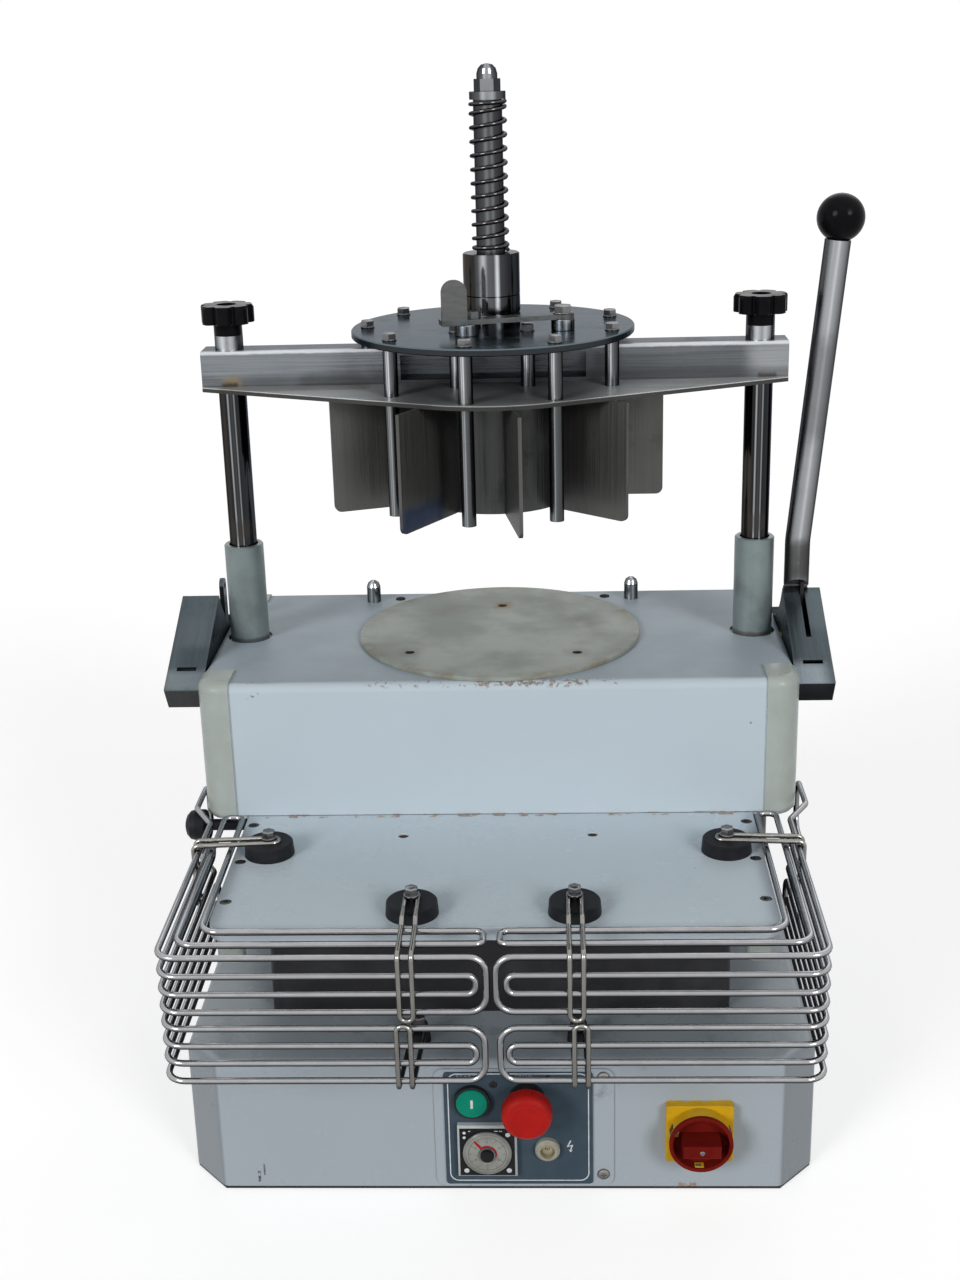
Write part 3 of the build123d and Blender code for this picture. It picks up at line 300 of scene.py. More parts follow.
def painted(name, base, wear_and_shade=(), gloss=0.24, aside=1.0):
    """Stoved paint. Each entry of wear and painted shade is (kind, centre, half, soft, ragged, grain,
    threshold), lengths in metres.

    Aside is how much of its tone the paint keeps on the faces that turn to the sides, a painted shade.
    """
    material, tree, shader, where = start_finish(name)
    uneven = use(tree, clouds, Vector=where, Scale=14.0)["Amount"]
    colour = blend_colour(tree, uneven, base, toned(base, 0.985))
    # Painted shade on the faces that turn to the sides.
    if aside < 1:
        shaded_sides = spread(tree, calc(tree, "ABSOLUTE", faces_along(tree, "X")), 0.25, 0.6)
        colour = blend_colour(tree, shaded_sides, colour, toned(base, aside))
    dots = use(tree, specks, Vector=where, Scale=38.0, Size=0.045, Share=0.10)["Mask"]
    colour = blend_colour(tree, calc(tree, "MULTIPLY", dots, 0.55), colour, SPECK_BROWN)
    rough = spread(tree, uneven, 0.0, 1.0, gloss, gloss + 0.04)
    grainy = add(tree, "TexNoise", None, Vector=where, Scale=300.0, Detail=1.0).outputs[0]
    relief = calc(tree, "MULTIPLY", grainy, 0.03)
    for kind, centre, half, soft, ragged, grain, threshold in wear_and_shade:
        dark, light, strength, fade = WEAR_AND_SHADE[kind]
        mask = patch_mask(tree, where, centre, half, soft, ragged, grain)
        spots = use(tree, clouds, Vector=where, Scale=grain, Low=threshold, High=threshold + fade)["Amount"]
        amount = calc(tree, "MULTIPLY", mask, spots)
        mixed = use(tree, clouds, Vector=where, Scale=grain * 2.5)["Amount"]
        tone = blend_colour(tree, mixed, dark, light)
        colour = blend_colour(tree, calc(tree, "MULTIPLY", amount, strength), colour, tone)
        rough = calc(tree, "ADD", rough, calc(tree, "MULTIPLY", amount, 0.35), clamp=True)
        if kind in SUNK_WEAR:
            relief = calc(tree, "SUBTRACT", relief, calc(tree, "MULTIPLY", amount, 0.6))
    fill(tree, shader, Base_Color=colour, Roughness=rough, Specular_IOR_Level=0.2)
    bump(tree, shader, relief, strength=0.12, distance=0.0005)
    return material


# One paint in three tones: lighter on the deck, and darker on the base and its control cover, than on the
# box, as painted light and shade.
WHITE, LIT_DECK_WHITE, SHADED_BASE_WHITE = (0.465, 0.535, 0.585), (0.53, 0.61, 0.665), (0.335, 0.38, 0.415)
print("paint finish ready")

# %% Paint on the casings
# The first entry is painted shade over the whole top of the box; the others are chips, rust, a dark seam and
# a smudge.
box_wear_and_shade = [("grime_and_shade", (0.0, 0.08, 0.3845), (0.26, 0.12, 0.0008), 0.004, 0.0, 8.0, -1.0),
            ("chip", (0.030, -0.047, 0.3828), (0.045, 0.004, 0.0012), 0.004, 0.006, 210.0, 0.50),
            ("chip", (-0.005, -0.046, 0.3832), (0.105, 0.004, 0.0010), 0.004, 0.006, 240.0, 0.57),
            ("rust", (-0.10, -0.0485, 0.2642), (0.12, 0.003, 0.0004), 0.0010, 0.002, 60.0, 0.50),
            ("rust", (0.17, -0.0485, 0.2642), (0.05, 0.003, 0.0004), 0.0012, 0.002, 70.0, 0.50),
            ("dark", (0.0, -0.0485, 0.2637), (0.24, 0.003, 0.0006), 0.0005, 0.0006, 30.0, 0.25),
            ("chip", (-0.205, -0.046, 0.380), (0.004, 0.006, 0.006), 0.004, 0.006, 190.0, 0.58),
            ("smudge", (0.0, 0.075, 0.384), (0.15, 0.10, 0.002), 0.02, 0.03, 28.0, 0.66)]
dress(painted("box_paint", WHITE, box_wear_and_shade, gloss=0.14), "upper_housing")
deck_wear = [("rust", (0.0, -0.0515, 0.264), (0.20, 0.0010, 0.001), 0.003, 0.004, 60.0, 0.52),
             ("smudge", (0.0, -0.238, 0.264), (0.20, 0.012, 0.002), 0.012, 0.016, 60.0, 0.62),
             ("dust", (0.0, -0.15, 0.264), (0.20, 0.07, 0.001), 0.03, 0.05, 22.0, 0.55)]
dress(painted("deck_paint", LIT_DECK_WHITE, deck_wear), "top_cover")
base_wear = [("smudge", (-0.09, -0.180, 0.120), (0.06, 0.022, 0.004), 0.02, 0.03, 48.0, 0.50),
             ("smudge", (0.06, -0.165, 0.120), (0.12, 0.026, 0.004), 0.02, 0.03, 40.0, 0.52),
             ("smudge", (0.095, -0.2065, 0.108), (0.02, 0.004, 0.006), 0.012, 0.02, 70.0, 0.54),
             ("dark", (-0.199, -0.208, 0.012), (0.0005, 0.003, 0.005), 0.0012, 0.003, 260.0, 0.42),
             ("dark", (-0.1945, -0.208, 0.019), (0.0003, 0.003, 0.005), 0.0010, 0.003, 300.0, 0.45),
             ("chip", (0.0, -0.2065, 0.0032), (0.225, 0.004, 0.0006), 0.0014, 0.003, 110.0, 0.62),
             ("rust", (0.152, -0.208, 0.004), (0.006, 0.003, 0.001), 0.003, 0.004, 160.0, 0.45),
             ("dark", (0.246, -0.180, 0.052), (0.003, 0.004, 0.0004), 0.0008, 0.002, 300.0, 0.40)]
# The base keeps two thirds of its tone on the faces that turn to the sides, a painted shade.
dress(painted("base_paint", SHADED_BASE_WHITE, base_wear, aside=0.66), "base_casing")
cover_wear = [("smudge", (0.083, -0.2092, 0.10), (0.012, 0.002, 0.012), 0.008, 0.01, 90.0, 0.5)]
dress(painted("cover_paint", SHADED_BASE_WHITE, cover_wear, gloss=0.28), "control_cover")

# %% Dark paint on the waist and the inside
def dark_paint(name, base):
    """Satin dark grey paint, rubbed and dusty."""
    material, tree, shader, where = start_finish(name)
    dusty = use(tree, clouds, Vector=where, Scale=18.0, Low=0.42, High=0.75)["Amount"]
    rubbed = use(tree, brush_lines, Vector=where, Stretch=(14, 60, 420))["Streaks"]
    colour = blend_colour(tree, dusty, base, tuple(c * 1.9 + 0.003 for c in base))
    colour = blend_colour(tree, calc(tree, "MULTIPLY", rubbed, 0.2), colour, (0.05, 0.05, 0.055))
    rough = spread(tree, dusty, 0, 1, 0.38, 0.6)
    fill(tree, shader, Base_Color=colour, Roughness=rough, Specular_IOR_Level=0.2)
    bump(tree, shader, rubbed, strength=0.1, distance=0.0004)
    return material


dress(dark_paint("waist_paint", (0.020, 0.020, 0.022)), "waist_housing", "column_legs", "frame_plate",
      "base_pan", "drive_bracket")

# %% [markdown]
# ## Metals
# Nearly every bare part is steel, but no two look alike: the beam and the knives are brushed along their
# length, the columns and pusher rods are ground bright, the lever covers are rolled sheet and the guide tubes
# dull zinc. The brush lines do three things at once. They change the tone, the roughness and, very slightly,
# the surface itself. Polished bars carry long dark and bright streaks, which are painted reflections. Those
# are set by the way the surface faces: a radial gradient of the normal runs once round every upright bar,
# wherever it stands, and a colour ramp puts the painted reflections on it. Patches add painted highlights and
# shade, and some metals get painted shade on the faces that look down.

# %% Painted reflections on round bars
def painted_reflections(tree, reflection_tones):
    """Painted reflections along upright bars: (place, tone), from the left edge at 0 to the right edge at 1.
    """
    facing = add(tree, "NewGeometry").outputs["Normal"]
    turn = add(tree, "TexGradient", {"gradient_type": "RADIAL"}, Vector=facing).outputs["Fac"]
    ramp = add(tree, "ValToRGB", None, Fac=turn)
    stops = ramp.color_ramp.elements
    for place, tone in reflection_tones:
        tint = tone if isinstance(tone, tuple) else (tone * 0.97, tone, tone * 1.04)
        for spot in (place / 2, 1 - place / 2):
            stop = stops[0] if spot == 0 else stops[-1] if spot == 1 else stops.new(spot)
            stop.color = (*tint, 1)
    return ramp.outputs["Color"]


# Painted reflections of polished bars, as (place across the bar, tone).
COLUMN_REFLECTIONS = [(0, 0.010), (0.10, (0.034, 0.029, 0.025)), (0.30, (0.040, 0.036, 0.032)), (0.395, 0.016),
                (0.425, 0.40), (0.455, 0.030), (0.51, 0.055), (0.545, 0.025), (0.57, 0.28), (0.595, 0.02),
                (0.80, 0.032), (0.93, (0.050, 0.057, 0.070)), (1, 0.012)]
LEVER_REFLECTIONS = [(0, 0.02), (0.07, 0.04), (0.20, 0.10), (0.34, 0.27), (0.44, 0.36), (0.50, 0.55), (0.55, 0.33),
               (0.68, 0.20), (0.80, 0.07), (0.90, 0.035), (0.95, 0.16), (1, 0.02)]
ROD_REFLECTIONS = [(0, 0.015), (0.10, 0.05), (0.30, 0.15), (0.34, 0.55), (0.385, 0.22), (0.43, 0.70), (0.48, 0.17),
             (0.60, 0.08), (0.80, 0.03), (1, 0.012)]
SLEEVE_REFLECTIONS = [(0, 0.17), (0.10, 0.11), (0.17, (0.06, 0.046, 0.032)), (0.30, 0.022), (0.36, 0.09),
                (0.42, 0.50), (0.47, 0.11), (0.54, 0.09), (0.575, 0.72), (0.61, 0.05), (0.72, 0.02),
                (0.92, 0.018), (1, 0.09)]
SPINDLE_REFLECTIONS = [(0, 0.018), (0.25, 0.045), (0.38, 0.065), (0.45, 0.19), (0.52, 0.08), (0.58, 0.15),
                 (0.64, 0.05), (0.80, 0.03), (1, 0.016)]
NUT_REFLECTIONS = [(0, 0.02), (0.22, 0.06), (0.36, 0.10), (0.43, 0.42), (0.50, 0.27), (0.60, 0.36), (0.68, 0.09),
             (0.85, 0.04), (1, 0.02)]
SHORT_REFLECTIONS = [(0, 0.06), (0.22, 0.14), (0.40, 0.62), (0.50, 0.30), (0.58, 0.50), (0.74, 0.12), (1, 0.04)]
print("streaks for", len(COLUMN_REFLECTIONS), "places on a column")

# %% Steel finish
EDGE_GREY = (0.42, 0.43, 0.45, 1)         # what metal mirrors at grazing angles


def steel(name, base, stretch, rough=(0.22, 0.42), contrast=0.35, stains_and_light=(), grime=0.25, depth=0.12,
          reflection_tones=None, lean=0.0, underside_shade=1.0, metallic=1.0):
    """Bare metal with brush lines.

    Stains and painted light are patches (centre, half, soft, ragged, grain, colour, strength), in metres.
    Reflection tones are the painted reflections of a round bar. Lean turns the lines about y. Underside shade
    is how much of its tone the metal keeps facing down, a painted shade.
    """
    material, tree, shader, where = start_finish(name)
    along = add(tree, "Mapping", None, Vector=where, Rotation=(0, -lean, 0)).outputs[0] if lean else where
    lines = use(tree, brush_lines, Vector=along, Stretch=stretch)
    bright, dull = toned(base, 1 + contrast), toned(base, 1 - contrast)
    # Painted reflections: a round bar takes its streaks from the ramp.
    if reflection_tones:
        worn = calc(tree, "MULTIPLY", lines["Streaks"], contrast)
        colour = blend_colour(tree, worn, painted_reflections(tree, reflection_tones), dull)
    else:
        colour = blend_colour(tree, lines["Lines"], dull, bright)
        colour = blend_colour(tree, calc(tree, "MULTIPLY", lines["Streaks"], 0.35), colour, bright)
    # Painted shade: the metal darkens as it faces down.
    if underside_shade < 1:
        below = calc(tree, "SUBTRACT", 1.0, spread(tree, faces_along(tree, "Z"), -0.45, 0.45))
        colour = blend_colour(tree, below, colour, toned(base, underside_shade))
    dirt = use(tree, clouds, Vector=where, Scale=26.0, Low=0.52, High=0.78)["Amount"]
    grime_and_shade = calc(tree, "MULTIPLY", dirt, grime)
    colour = blend_colour(tree, grime_and_shade, colour, toned(base, 0.45))
    level = calc(tree, "ADD", spread(tree, lines["Lines"], 0, 1, *rough), calc(tree, "MULTIPLY", grime_and_shade, 0.5))
    # Patches of stains, and of painted highlights and painted shade.
    for *spot, tone, strength in stains_and_light:
        amount = calc(tree, "MULTIPLY", patch_mask(tree, where, *spot), strength)
        colour = blend_colour(tree, amount, colour, tone)
        level = calc(tree, "ADD", level, calc(tree, "MULTIPLY", amount, 0.1), clamp=True)
    fill(tree, shader, Base_Color=colour, Roughness=level, Metallic=metallic, Specular_Tint=EDGE_GREY,
         Specular_IOR_Level=0.25)
    if depth:
        bump(tree, shader, lines["Lines"], strength=depth, distance=0.0003)
    return material


# How brush lines are stretched: long along one axis, or even in all directions.
ALONG_X, ALONG_Z, ROUND_Z, EVEN = (9, 1300, 1300), (900, 900, 7), (300, 300, 9), (60, 60, 60)
BURNT, SOOT = (0.24, 0.185, 0.105), (0.02, 0.02, 0.02)
print("steel finish ready")

# %% Steel on the beam and the knives
# The first three patches are painted light: a highlight at the left end, shade over the right middle and a
# highlight at the right end. The fourth makes the beam darker along its bottom. Then come a heat stain, soot,
# a dark stain and more soot, and the last is a painted highlight along the top edge.
beam_stain_and_light = [((-0.195, 0.065, 0.632), (0.045, 0.004, 0.006), 0.030, 0.020, 30.0, (0.25, 0.27, 0.29), 0.45),
              ((0.125, 0.065, 0.627), (0.085, 0.004, 0.004), 0.024, 0.020, 25.0, (0.075, 0.080, 0.085), 0.65),
              ((0.236, 0.065, 0.630), (0.010, 0.004, 0.006), 0.020, 0.012, 40.0, (0.36, 0.37, 0.38), 0.55),
              ((0.0, 0.065, 0.6185), (0.26, 0.004, 0.0015), 0.008, 0.006, 40.0, (0.06, 0.062, 0.065), 0.50),
              ((-0.224, 0.065, 0.6185), (0.003, 0.004, 0.0006), 0.009, 0.008, 120.0, BURNT, 0.75),
              ((-0.226, 0.065, 0.6165), (0.005, 0.004, 0.0005), 0.004, 0.005, 200.0, SOOT, 0.75),
              ((0.232, 0.065, 0.6165), (0.006, 0.004, 0.0005), 0.004, 0.006, 200.0, (0.05, 0.04, 0.03), 0.8),
              ((-0.06, 0.065, 0.618), (0.10, 0.004, 0.001), 0.012, 0.016, 60.0, SOOT, 0.35),
              ((0.0, 0.065, 0.6450), (0.26, 0.004, 0.0008), 0.0018, 0.0014, 60.0, (0.66, 0.68, 0.70), 0.85)]
dress(steel("beam_steel", (0.160, 0.173, 0.188), ALONG_X, rough=(0.22, 0.38), contrast=0.42, stains_and_light=beam_stain_and_light,
            grime=0.45, metallic=0.85), "press_beam")
# A brown stain, then a painted shadow under the ejector and painted shade on the plate's front edge.
plate_stain_and_shade = [((-0.17, 0.060, 0.6135), (0.06, 0.012, 0.003), 0.01, 0.012, 60.0, (0.11, 0.08, 0.045), 0.45),
               ((0.0, 0.03, 0.6155), (0.06, 0.04, 0.003), 0.05, 0.006, 40.0, (0.10, 0.105, 0.11), 0.85),
               ((0.0, 0.08, 0.6120), (0.27, 0.14, 0.0026), 0.0004, 0.0, 50.0, (0.030, 0.028, 0.025), 0.95)]
dress(steel("plate_steel", (0.50, 0.52, 0.52), (14, 420, 420), rough=(0.28, 0.38), contrast=0.10,
            stains_and_light=plate_stain_and_shade, grime=0.3, depth=0.04, metallic=0.5), "knife_plate")
knife_stain = [((-0.055, -0.02, 0.522), (0.02, 0.02, 0.004), 0.012, 0.014, 70.0, (0.02, 0.04, 0.10), 0.70)]
dress(steel("knife_steel", (0.100, 0.100, 0.096), ALONG_Z, rough=(0.30, 0.46), contrast=0.13,
            stains_and_light=knife_stain, grime=0.5, metallic=0.7), "knife_blades")
dress(steel("ring_steel", (0.062, 0.064, 0.063), ALONG_Z, rough=(0.26, 0.42), contrast=0.25, grime=0.5,
            metallic=0.8), "knife_tube")

# %% Steel on the ejector
# A darker patch round the middle of the plate's top, and painted shade on the lower half of its rim.
rim_stain_and_shade = [((0.0, 0.08, 0.6615), (0.035, 0.035, 0.002), 0.02, 0.02, 45.0, (0.09, 0.095, 0.10), 0.4),
             ((0.0, 0.08, 0.6568), (0.13, 0.13, 0.0034), 0.0005, 0.0, 45.0, (0.028, 0.030, 0.032), 0.95)]
dress(steel("ejector_steel", (0.135, 0.175, 0.198), (40, 40, 40), rough=(0.17, 0.22), contrast=0.02,
            stains_and_light=rim_stain_and_shade, grime=0.25, depth=0.0), "ejector_plate")
# Painted reflections on the sleeve, the nut, the latch posts, the studs and the pusher rods.
dress(steel("sleeve_steel", (0.095, 0.105, 0.12), (300, 300, 8), rough=(0.10, 0.16), contrast=0.20, grime=0.3,
            depth=0.03, reflection_tones=SLEEVE_REFLECTIONS), "ejector_sleeve")
nut_steel = steel("nut_steel", (0.11, 0.12, 0.13), EVEN, rough=(0.16, 0.26), contrast=0.15, grime=0.4,
                  depth=0.0, reflection_tones=NUT_REFLECTIONS)
dress(nut_steel, "spindle_nut")
# Bolt heads get painted shade underneath.
bolt_steel = steel("bolt_steel", (0.26, 0.26, 0.265), EVEN, rough=(0.16, 0.26), contrast=0.15, grime=0.5,
                   depth=0.0, underside_shade=0.3, metallic=0.9)
post_steel = steel("post_steel", (0.20, 0.20, 0.20), ROUND_Z, rough=(0.12, 0.20), contrast=0.15, grime=0.3,
                   depth=0.03, reflection_tones=SHORT_REFLECTIONS)
dress(post_steel, "ejector_bolts")
dress(steel("stud_steel", (0.36, 0.36, 0.36), ROUND_Z, rough=(0.12, 0.20), contrast=0.15, grime=0.3,
            depth=0.03, reflection_tones=SHORT_REFLECTIONS), "locating_studs")
dark_screw = steel("dark_screw", (0.035, 0.033, 0.03), (300, 300, 300), rough=(0.35, 0.55), contrast=0.3,
                   grime=0.4)
dress(dark_screw, "disc_screws", "fixing_screws")
deck_screw = steel("deck_screw", (0.10, 0.10, 0.098), (300, 300, 300), rough=(0.30, 0.45), contrast=0.3,
                   grime=0.4)
dress(steel("latch_steel", (0.112, 0.116, 0.113), (40, 300, 300), rough=(0.24, 0.38), contrast=0.08,
            grime=0.3, depth=0.04, metallic=0.85), "latch_bar")
rod_shade = [((0.0, 0.08, 0.55), (0.13, 0.13, 0.060), 0.003, 0.0, 40.0, (0.060, 0.066, 0.066), 0.55)]
dress(steel("rod_steel", (0.14, 0.142, 0.14), (500, 500, 6), rough=(0.14, 0.22), contrast=0.25,
            stains_and_light=rod_shade, grime=0.35, depth=0.03, reflection_tones=ROD_REFLECTIONS), "ejector_rods")

# %% Bright bars of the press
ring_mark = (0.05, 0.045, 0.04)
column_stain = [((side * 0.227, 0.08, 0.487), (0.02, 0.02, 0.003), 0.010, 0.008, 120.0, ring_mark, 0.5)
                for side in (-1, 1)]
# Painted reflections on the columns, the spindle and the knob bushes.
dress(steel("chrome", (0.068, 0.073, 0.082), (500, 500, 4), rough=(0.07, 0.12), contrast=0.12,
            stains_and_light=column_stain, grime=0.25, depth=0.02, reflection_tones=COLUMN_REFLECTIONS), "column_left", "column_right")
spindle_steel = steel("spindle_steel", (0.075, 0.077, 0.083), (300, 300, 20), rough=(0.16, 0.28),
                      contrast=0.2, grime=0.4, depth=0.03, reflection_tones=SPINDLE_REFLECTIONS)
dress(spindle_steel, "spindle", "spindle_spring")
dress(steel("bush_steel", (0.20, 0.22, 0.22), (300, 300, 30), rough=(0.20, 0.32), contrast=0.3, grime=0.5,
            depth=0.06, reflection_tones=SHORT_REFLECTIONS), "knob_bushes")

# %% Zinc and worn steel on the lever side
# Dark rings at the feet of the guide tubes: painted shade where each tube meets the box, with rust on the
# right one.
tube_foot_rust_and_shade = [((0.227, 0.08, 0.385), (0.03, 0.03, 0.0006), 0.003, 0.003, 150.0, (0.07, 0.055, 0.045), 0.75),
            ((-0.227, 0.08, 0.385), (0.03, 0.03, 0.0006), 0.003, 0.003, 150.0, (0.05, 0.05, 0.05), 0.75)]


def zinc(name, base, stains_and_light=(), metallic=0.55):
    """Dull zinc plating: cloudy, faintly spangled, more matt than steel."""
    material, tree, shader, where = start_finish(name)
    spangle = add(tree, "TexVoronoi", {"feature": "SMOOTH_F1"}, Vector=where, Scale=260.0).outputs["Color"]
    grey = add(tree, "RGBToBW", None, Color=spangle).outputs[0]
    cloudy = use(tree, clouds, Vector=where, Scale=30.0)["Amount"]
    colour = blend_colour(tree, cloudy, toned(base, 0.84), toned(base, 1.12))
    colour = blend_colour(tree, calc(tree, "MULTIPLY", grey, 0.22), colour, toned(base, 1.45))
    streaks = use(tree, brush_lines, Vector=where, Stretch=(240, 240, 9))["Streaks"]
    colour = blend_colour(tree, calc(tree, "MULTIPLY", streaks, 0.4), colour, toned(base, 0.6))
    # Patches of rust, and of painted shade.
    for *spot, tone, strength in stains_and_light:
        colour = blend_colour(tree, calc(tree, "MULTIPLY", patch_mask(tree, where, *spot), strength), colour,
                              tone)
    fill(tree, shader, Base_Color=colour, Roughness=spread(tree, cloudy, 0, 1, 0.36, 0.52), Metallic=metallic)
    bump(tree, shader, grey, strength=0.06, distance=0.0003)
    return material


dress(zinc("tube_zinc", (0.178, 0.218, 0.222), stains_and_light=tube_foot_rust_and_shade, metallic=0.35), "guide_tubes")
# Pale patches low at the front of both covers and bluish ones high at the back are painted highlights, the
# left cover has a darker patch, and the dark bands on the lower front faces are painted shade.
cover_stain_and_light = [((0.262, -0.020, 0.376), (0.010, 0.008, 0.004), 0.016, 0.008, 60.0, (0.34, 0.40, 0.44), 0.70),
               ((0.279, 0.055, 0.410), (0.004, 0.014, 0.008), 0.014, 0.008, 50.0, (0.115, 0.145, 0.160), 0.6),
               ((-0.268, -0.016, 0.378), (0.014, 0.006, 0.003), 0.010, 0.008, 60.0, (0.24, 0.28, 0.30), 0.6),
               ((-0.270, 0.045, 0.404), (0.005, 0.016, 0.010), 0.014, 0.010, 50.0, (0.10, 0.125, 0.14), 0.6),
               ((-0.262, 0.010, 0.388), (0.008, 0.006, 0.003), 0.014, 0.012, 45.0, (0.045, 0.060, 0.070),
                0.6),
               ((0.27, -0.02, 0.361), (0.03, 0.02, 0.0095), 0.0008, 0.0, 90.0, (0.010, 0.010, 0.011), 0.95),
               ((-0.27, -0.02, 0.361), (0.03, 0.02, 0.0095), 0.0008, 0.0, 90.0, (0.050, 0.050, 0.050), 0.90)]
cover_steel = steel("cover_steel", (0.080, 0.100, 0.110), (260, 9, 9), rough=(0.16, 0.28), contrast=0.14,
                    stains_and_light=cover_stain_and_light, grime=0.5, depth=0.04, metallic=0.85)
dress(cover_steel, "lever_cover_right", "lever_cover_left")
lever_stain = [((0.262, 0.08, 0.448), (0.008, 0.02, 0.010), 0.016, 0.015, 60.0, (0.055, 0.052, 0.050), 0.7),
               ((0.272, 0.08, 0.452), (0.005, 0.02, 0.010), 0.012, 0.015, 60.0, (0.045, 0.042, 0.040), 0.6),
               ((0.279, 0.08, 0.60), (0.02, 0.02, 0.03), 0.03, 0.03, 50.0, (0.075, 0.075, 0.078), 0.5)]
# The lever's tube carries painted reflections.
lever_steel = steel("lever_steel", (0.17, 0.17, 0.172), (400, 400, 9), rough=(0.20, 0.32), contrast=0.25,
                    stains_and_light=lever_stain, grime=0.35, depth=0.05, reflection_tones=LEVER_REFLECTIONS, lean=math.radians(5.4))
dress(lever_steel, "lever_tube")
# Painted shade: the hub and the sheet behind the lever are kept very dark, as the shade inside the cover.
hub_shade_steel = steel("hub_shade_steel", (0.030, 0.030, 0.032), EVEN, rough=(0.35, 0.5), contrast=0.2, grime=0.4,
                  depth=0.0)
dress(hub_shade_steel, "lever_hub")
foot_steel = steel("foot_steel", (0.105, 0.098, 0.094), EVEN, rough=(0.25, 0.35), contrast=0.15, grime=0.4,
                   depth=0.0)
dress(steel("machined_steel", (0.36, 0.36, 0.36), (500, 60, 60), rough=(0.25, 0.42), contrast=0.25),
      "cross_shaft", "crank_shaft", "idler_crank", "motor_pulley", "gas_springs")
dress(steel("cast_metal", (0.42, 0.43, 0.44), (160, 160, 160), rough=(0.40, 0.60), contrast=0.15), "motor",
      "orbit_carrier")
dress(steel("bearing_bronze", (0.16, 0.115, 0.065), (300, 300, 300), rough=(0.35, 0.5), contrast=0.2),
      "bearings")

# %% [markdown]
# ## Plastics and rubber
# Plastic has a grain of its own: a moulded part carries a fine texture and small differences in gloss where
# hands touch it. The round plate that carries the dough is an off-white plastic disc, stained brown round its
# rim and at the screw behind, with greyish rings where dough has been turned on it. The grain could be
# modelled, but pits this small only change how light spreads, so a fine noise in a Bump node gives it. The
# rings and the brown rim of the disc are masks by the distance from its middle.

# %% Moulded plastic finish
DUST_GREY = (0.30, 0.30, 0.29)


def moulded(name, base, rough=0.3, worn=None, grain=700.0, depth=0.08, shine=0.2):
    """Plastic or rubber with a moulded grain and slightly uneven gloss."""
    material, tree, shader, where = start_finish(name)
    handled = use(tree, clouds, Vector=where, Scale=55.0)["Amount"]
    colour = blend_colour(tree, handled, base, worn or toned(base, 0.82))
    dust = use(tree, specks, Vector=where, Scale=260.0, Size=0.10, Share=0.12)["Mask"]
    colour = blend_colour(tree, calc(tree, "MULTIPLY", dust, 0.18), colour, DUST_GREY)
    uneven = spread(tree, handled, 0, 1, rough, rough + 0.12)
    fill(tree, shader, Base_Color=colour, Roughness=uneven, Specular_IOR_Level=shine)
    pits = add(tree, "TexNoise", None, Vector=where, Scale=grain, Detail=2.0).outputs[0]
    bump(tree, shader, pits, strength=depth, distance=0.0003)
    return material


black_gloss = moulded("black_gloss", (0.004, 0.004, 0.005), rough=0.14, worn=(0.007, 0.007, 0.008),
                      shine=0.04)
dress(black_gloss, "lever_ball", "clamp_knob_left", "clamp_knob_right")
dress(moulded("black_rubber", (0.010, 0.011, 0.014), rough=0.40, worn=(0.016, 0.017, 0.020), grain=900.0,
              depth=0.2, shine=0.1), "guard_buffers", "drive_belt", "side_stop")
dress(moulded("trim_cream", (0.362, 0.405, 0.388), rough=0.22, worn=(0.34, 0.372, 0.342), grain=300.0,
              depth=0.04, shine=0.2), "corner_trims")
collar_black = moulded("collar_black", (0.016, 0.016, 0.018), rough=0.28, shine=0.15)
dress(collar_black, "button_collars")
start_green = moulded("start_green", (0.002, 0.205, 0.130), rough=0.26, worn=(0.002, 0.175, 0.112), shine=0.1)
dress(start_green, "start_button")
stop_red = moulded("stop_red", (0.39, 0.010, 0.008), rough=0.38, worn=(0.33, 0.009, 0.007), shine=0.1)
dress(stop_red, "estop_button")
switch_red = moulded("switch_red", (0.150, 0.009, 0.006), rough=0.40, worn=(0.120, 0.007, 0.005), shine=0.03)
dress(switch_red, "switch_knob")
switch_yellow = moulded("switch_yellow", (0.58, 0.34, 0.008), rough=0.34, worn=(0.50, 0.285, 0.008),
                        shine=0.15)
dress(switch_yellow, "switch_plate")
dress(moulded("bezel_pale", (0.47, 0.50, 0.50), rough=0.4, worn=(0.40, 0.43, 0.43)), "timer_body")
dress(moulded("panel_grey", (0.045, 0.068, 0.090), rough=0.45, worn=(0.040, 0.061, 0.081), grain=1200.0,
              depth=0.05, shine=0.1), "control_panel")
lamp_cream = moulded("lamp_cream", (0.31, 0.315, 0.26), rough=0.32, worn=(0.26, 0.255, 0.20))
dress(lamp_cream, "indicator_lamp")
dial_clear_grey = moulded("dial_clear_grey", (0.23, 0.24, 0.225), rough=0.22, worn=(0.165, 0.165, 0.15))
dress(dial_clear_grey, "timer_dial")

# %% The stained plate
DISC_MIDDLE, DOUGH_GREY = (0.0, 0.08, 0.3877), (0.17, 0.16, 0.155)
# Halos round the screws: x, y, half size, tone and strength.
HALOS = [(0.001, 0.1476, 0.003, (0.19, 0.125, 0.045), 0.8), (-0.077, 0.020, 0.004, DOUGH_GREY, 0.5),
         (0.069, 0.015, 0.004, DOUGH_GREY, 0.5)]
material, tree, shader, where = start_finish("plate_plastic")
cloudy = use(tree, clouds, Vector=where, Scale=11.0, Low=0.38, High=0.66)["Amount"]
colour = blend_colour(tree, cloudy, (0.29, 0.325, 0.30), (0.245, 0.27, 0.25))
out = vector_calc(tree, "DISTANCE", where, DISC_MIDDLE)["Value"]
band = calc(tree, "MULTIPLY", spread(tree, out, 0.050, 0.075),
            calc(tree, "SUBTRACT", 1.0, spread(tree, out, 0.080, 0.105)))
smear = use(tree, clouds, Vector=where, Scale=17.0, Low=0.45, High=0.7)["Amount"]
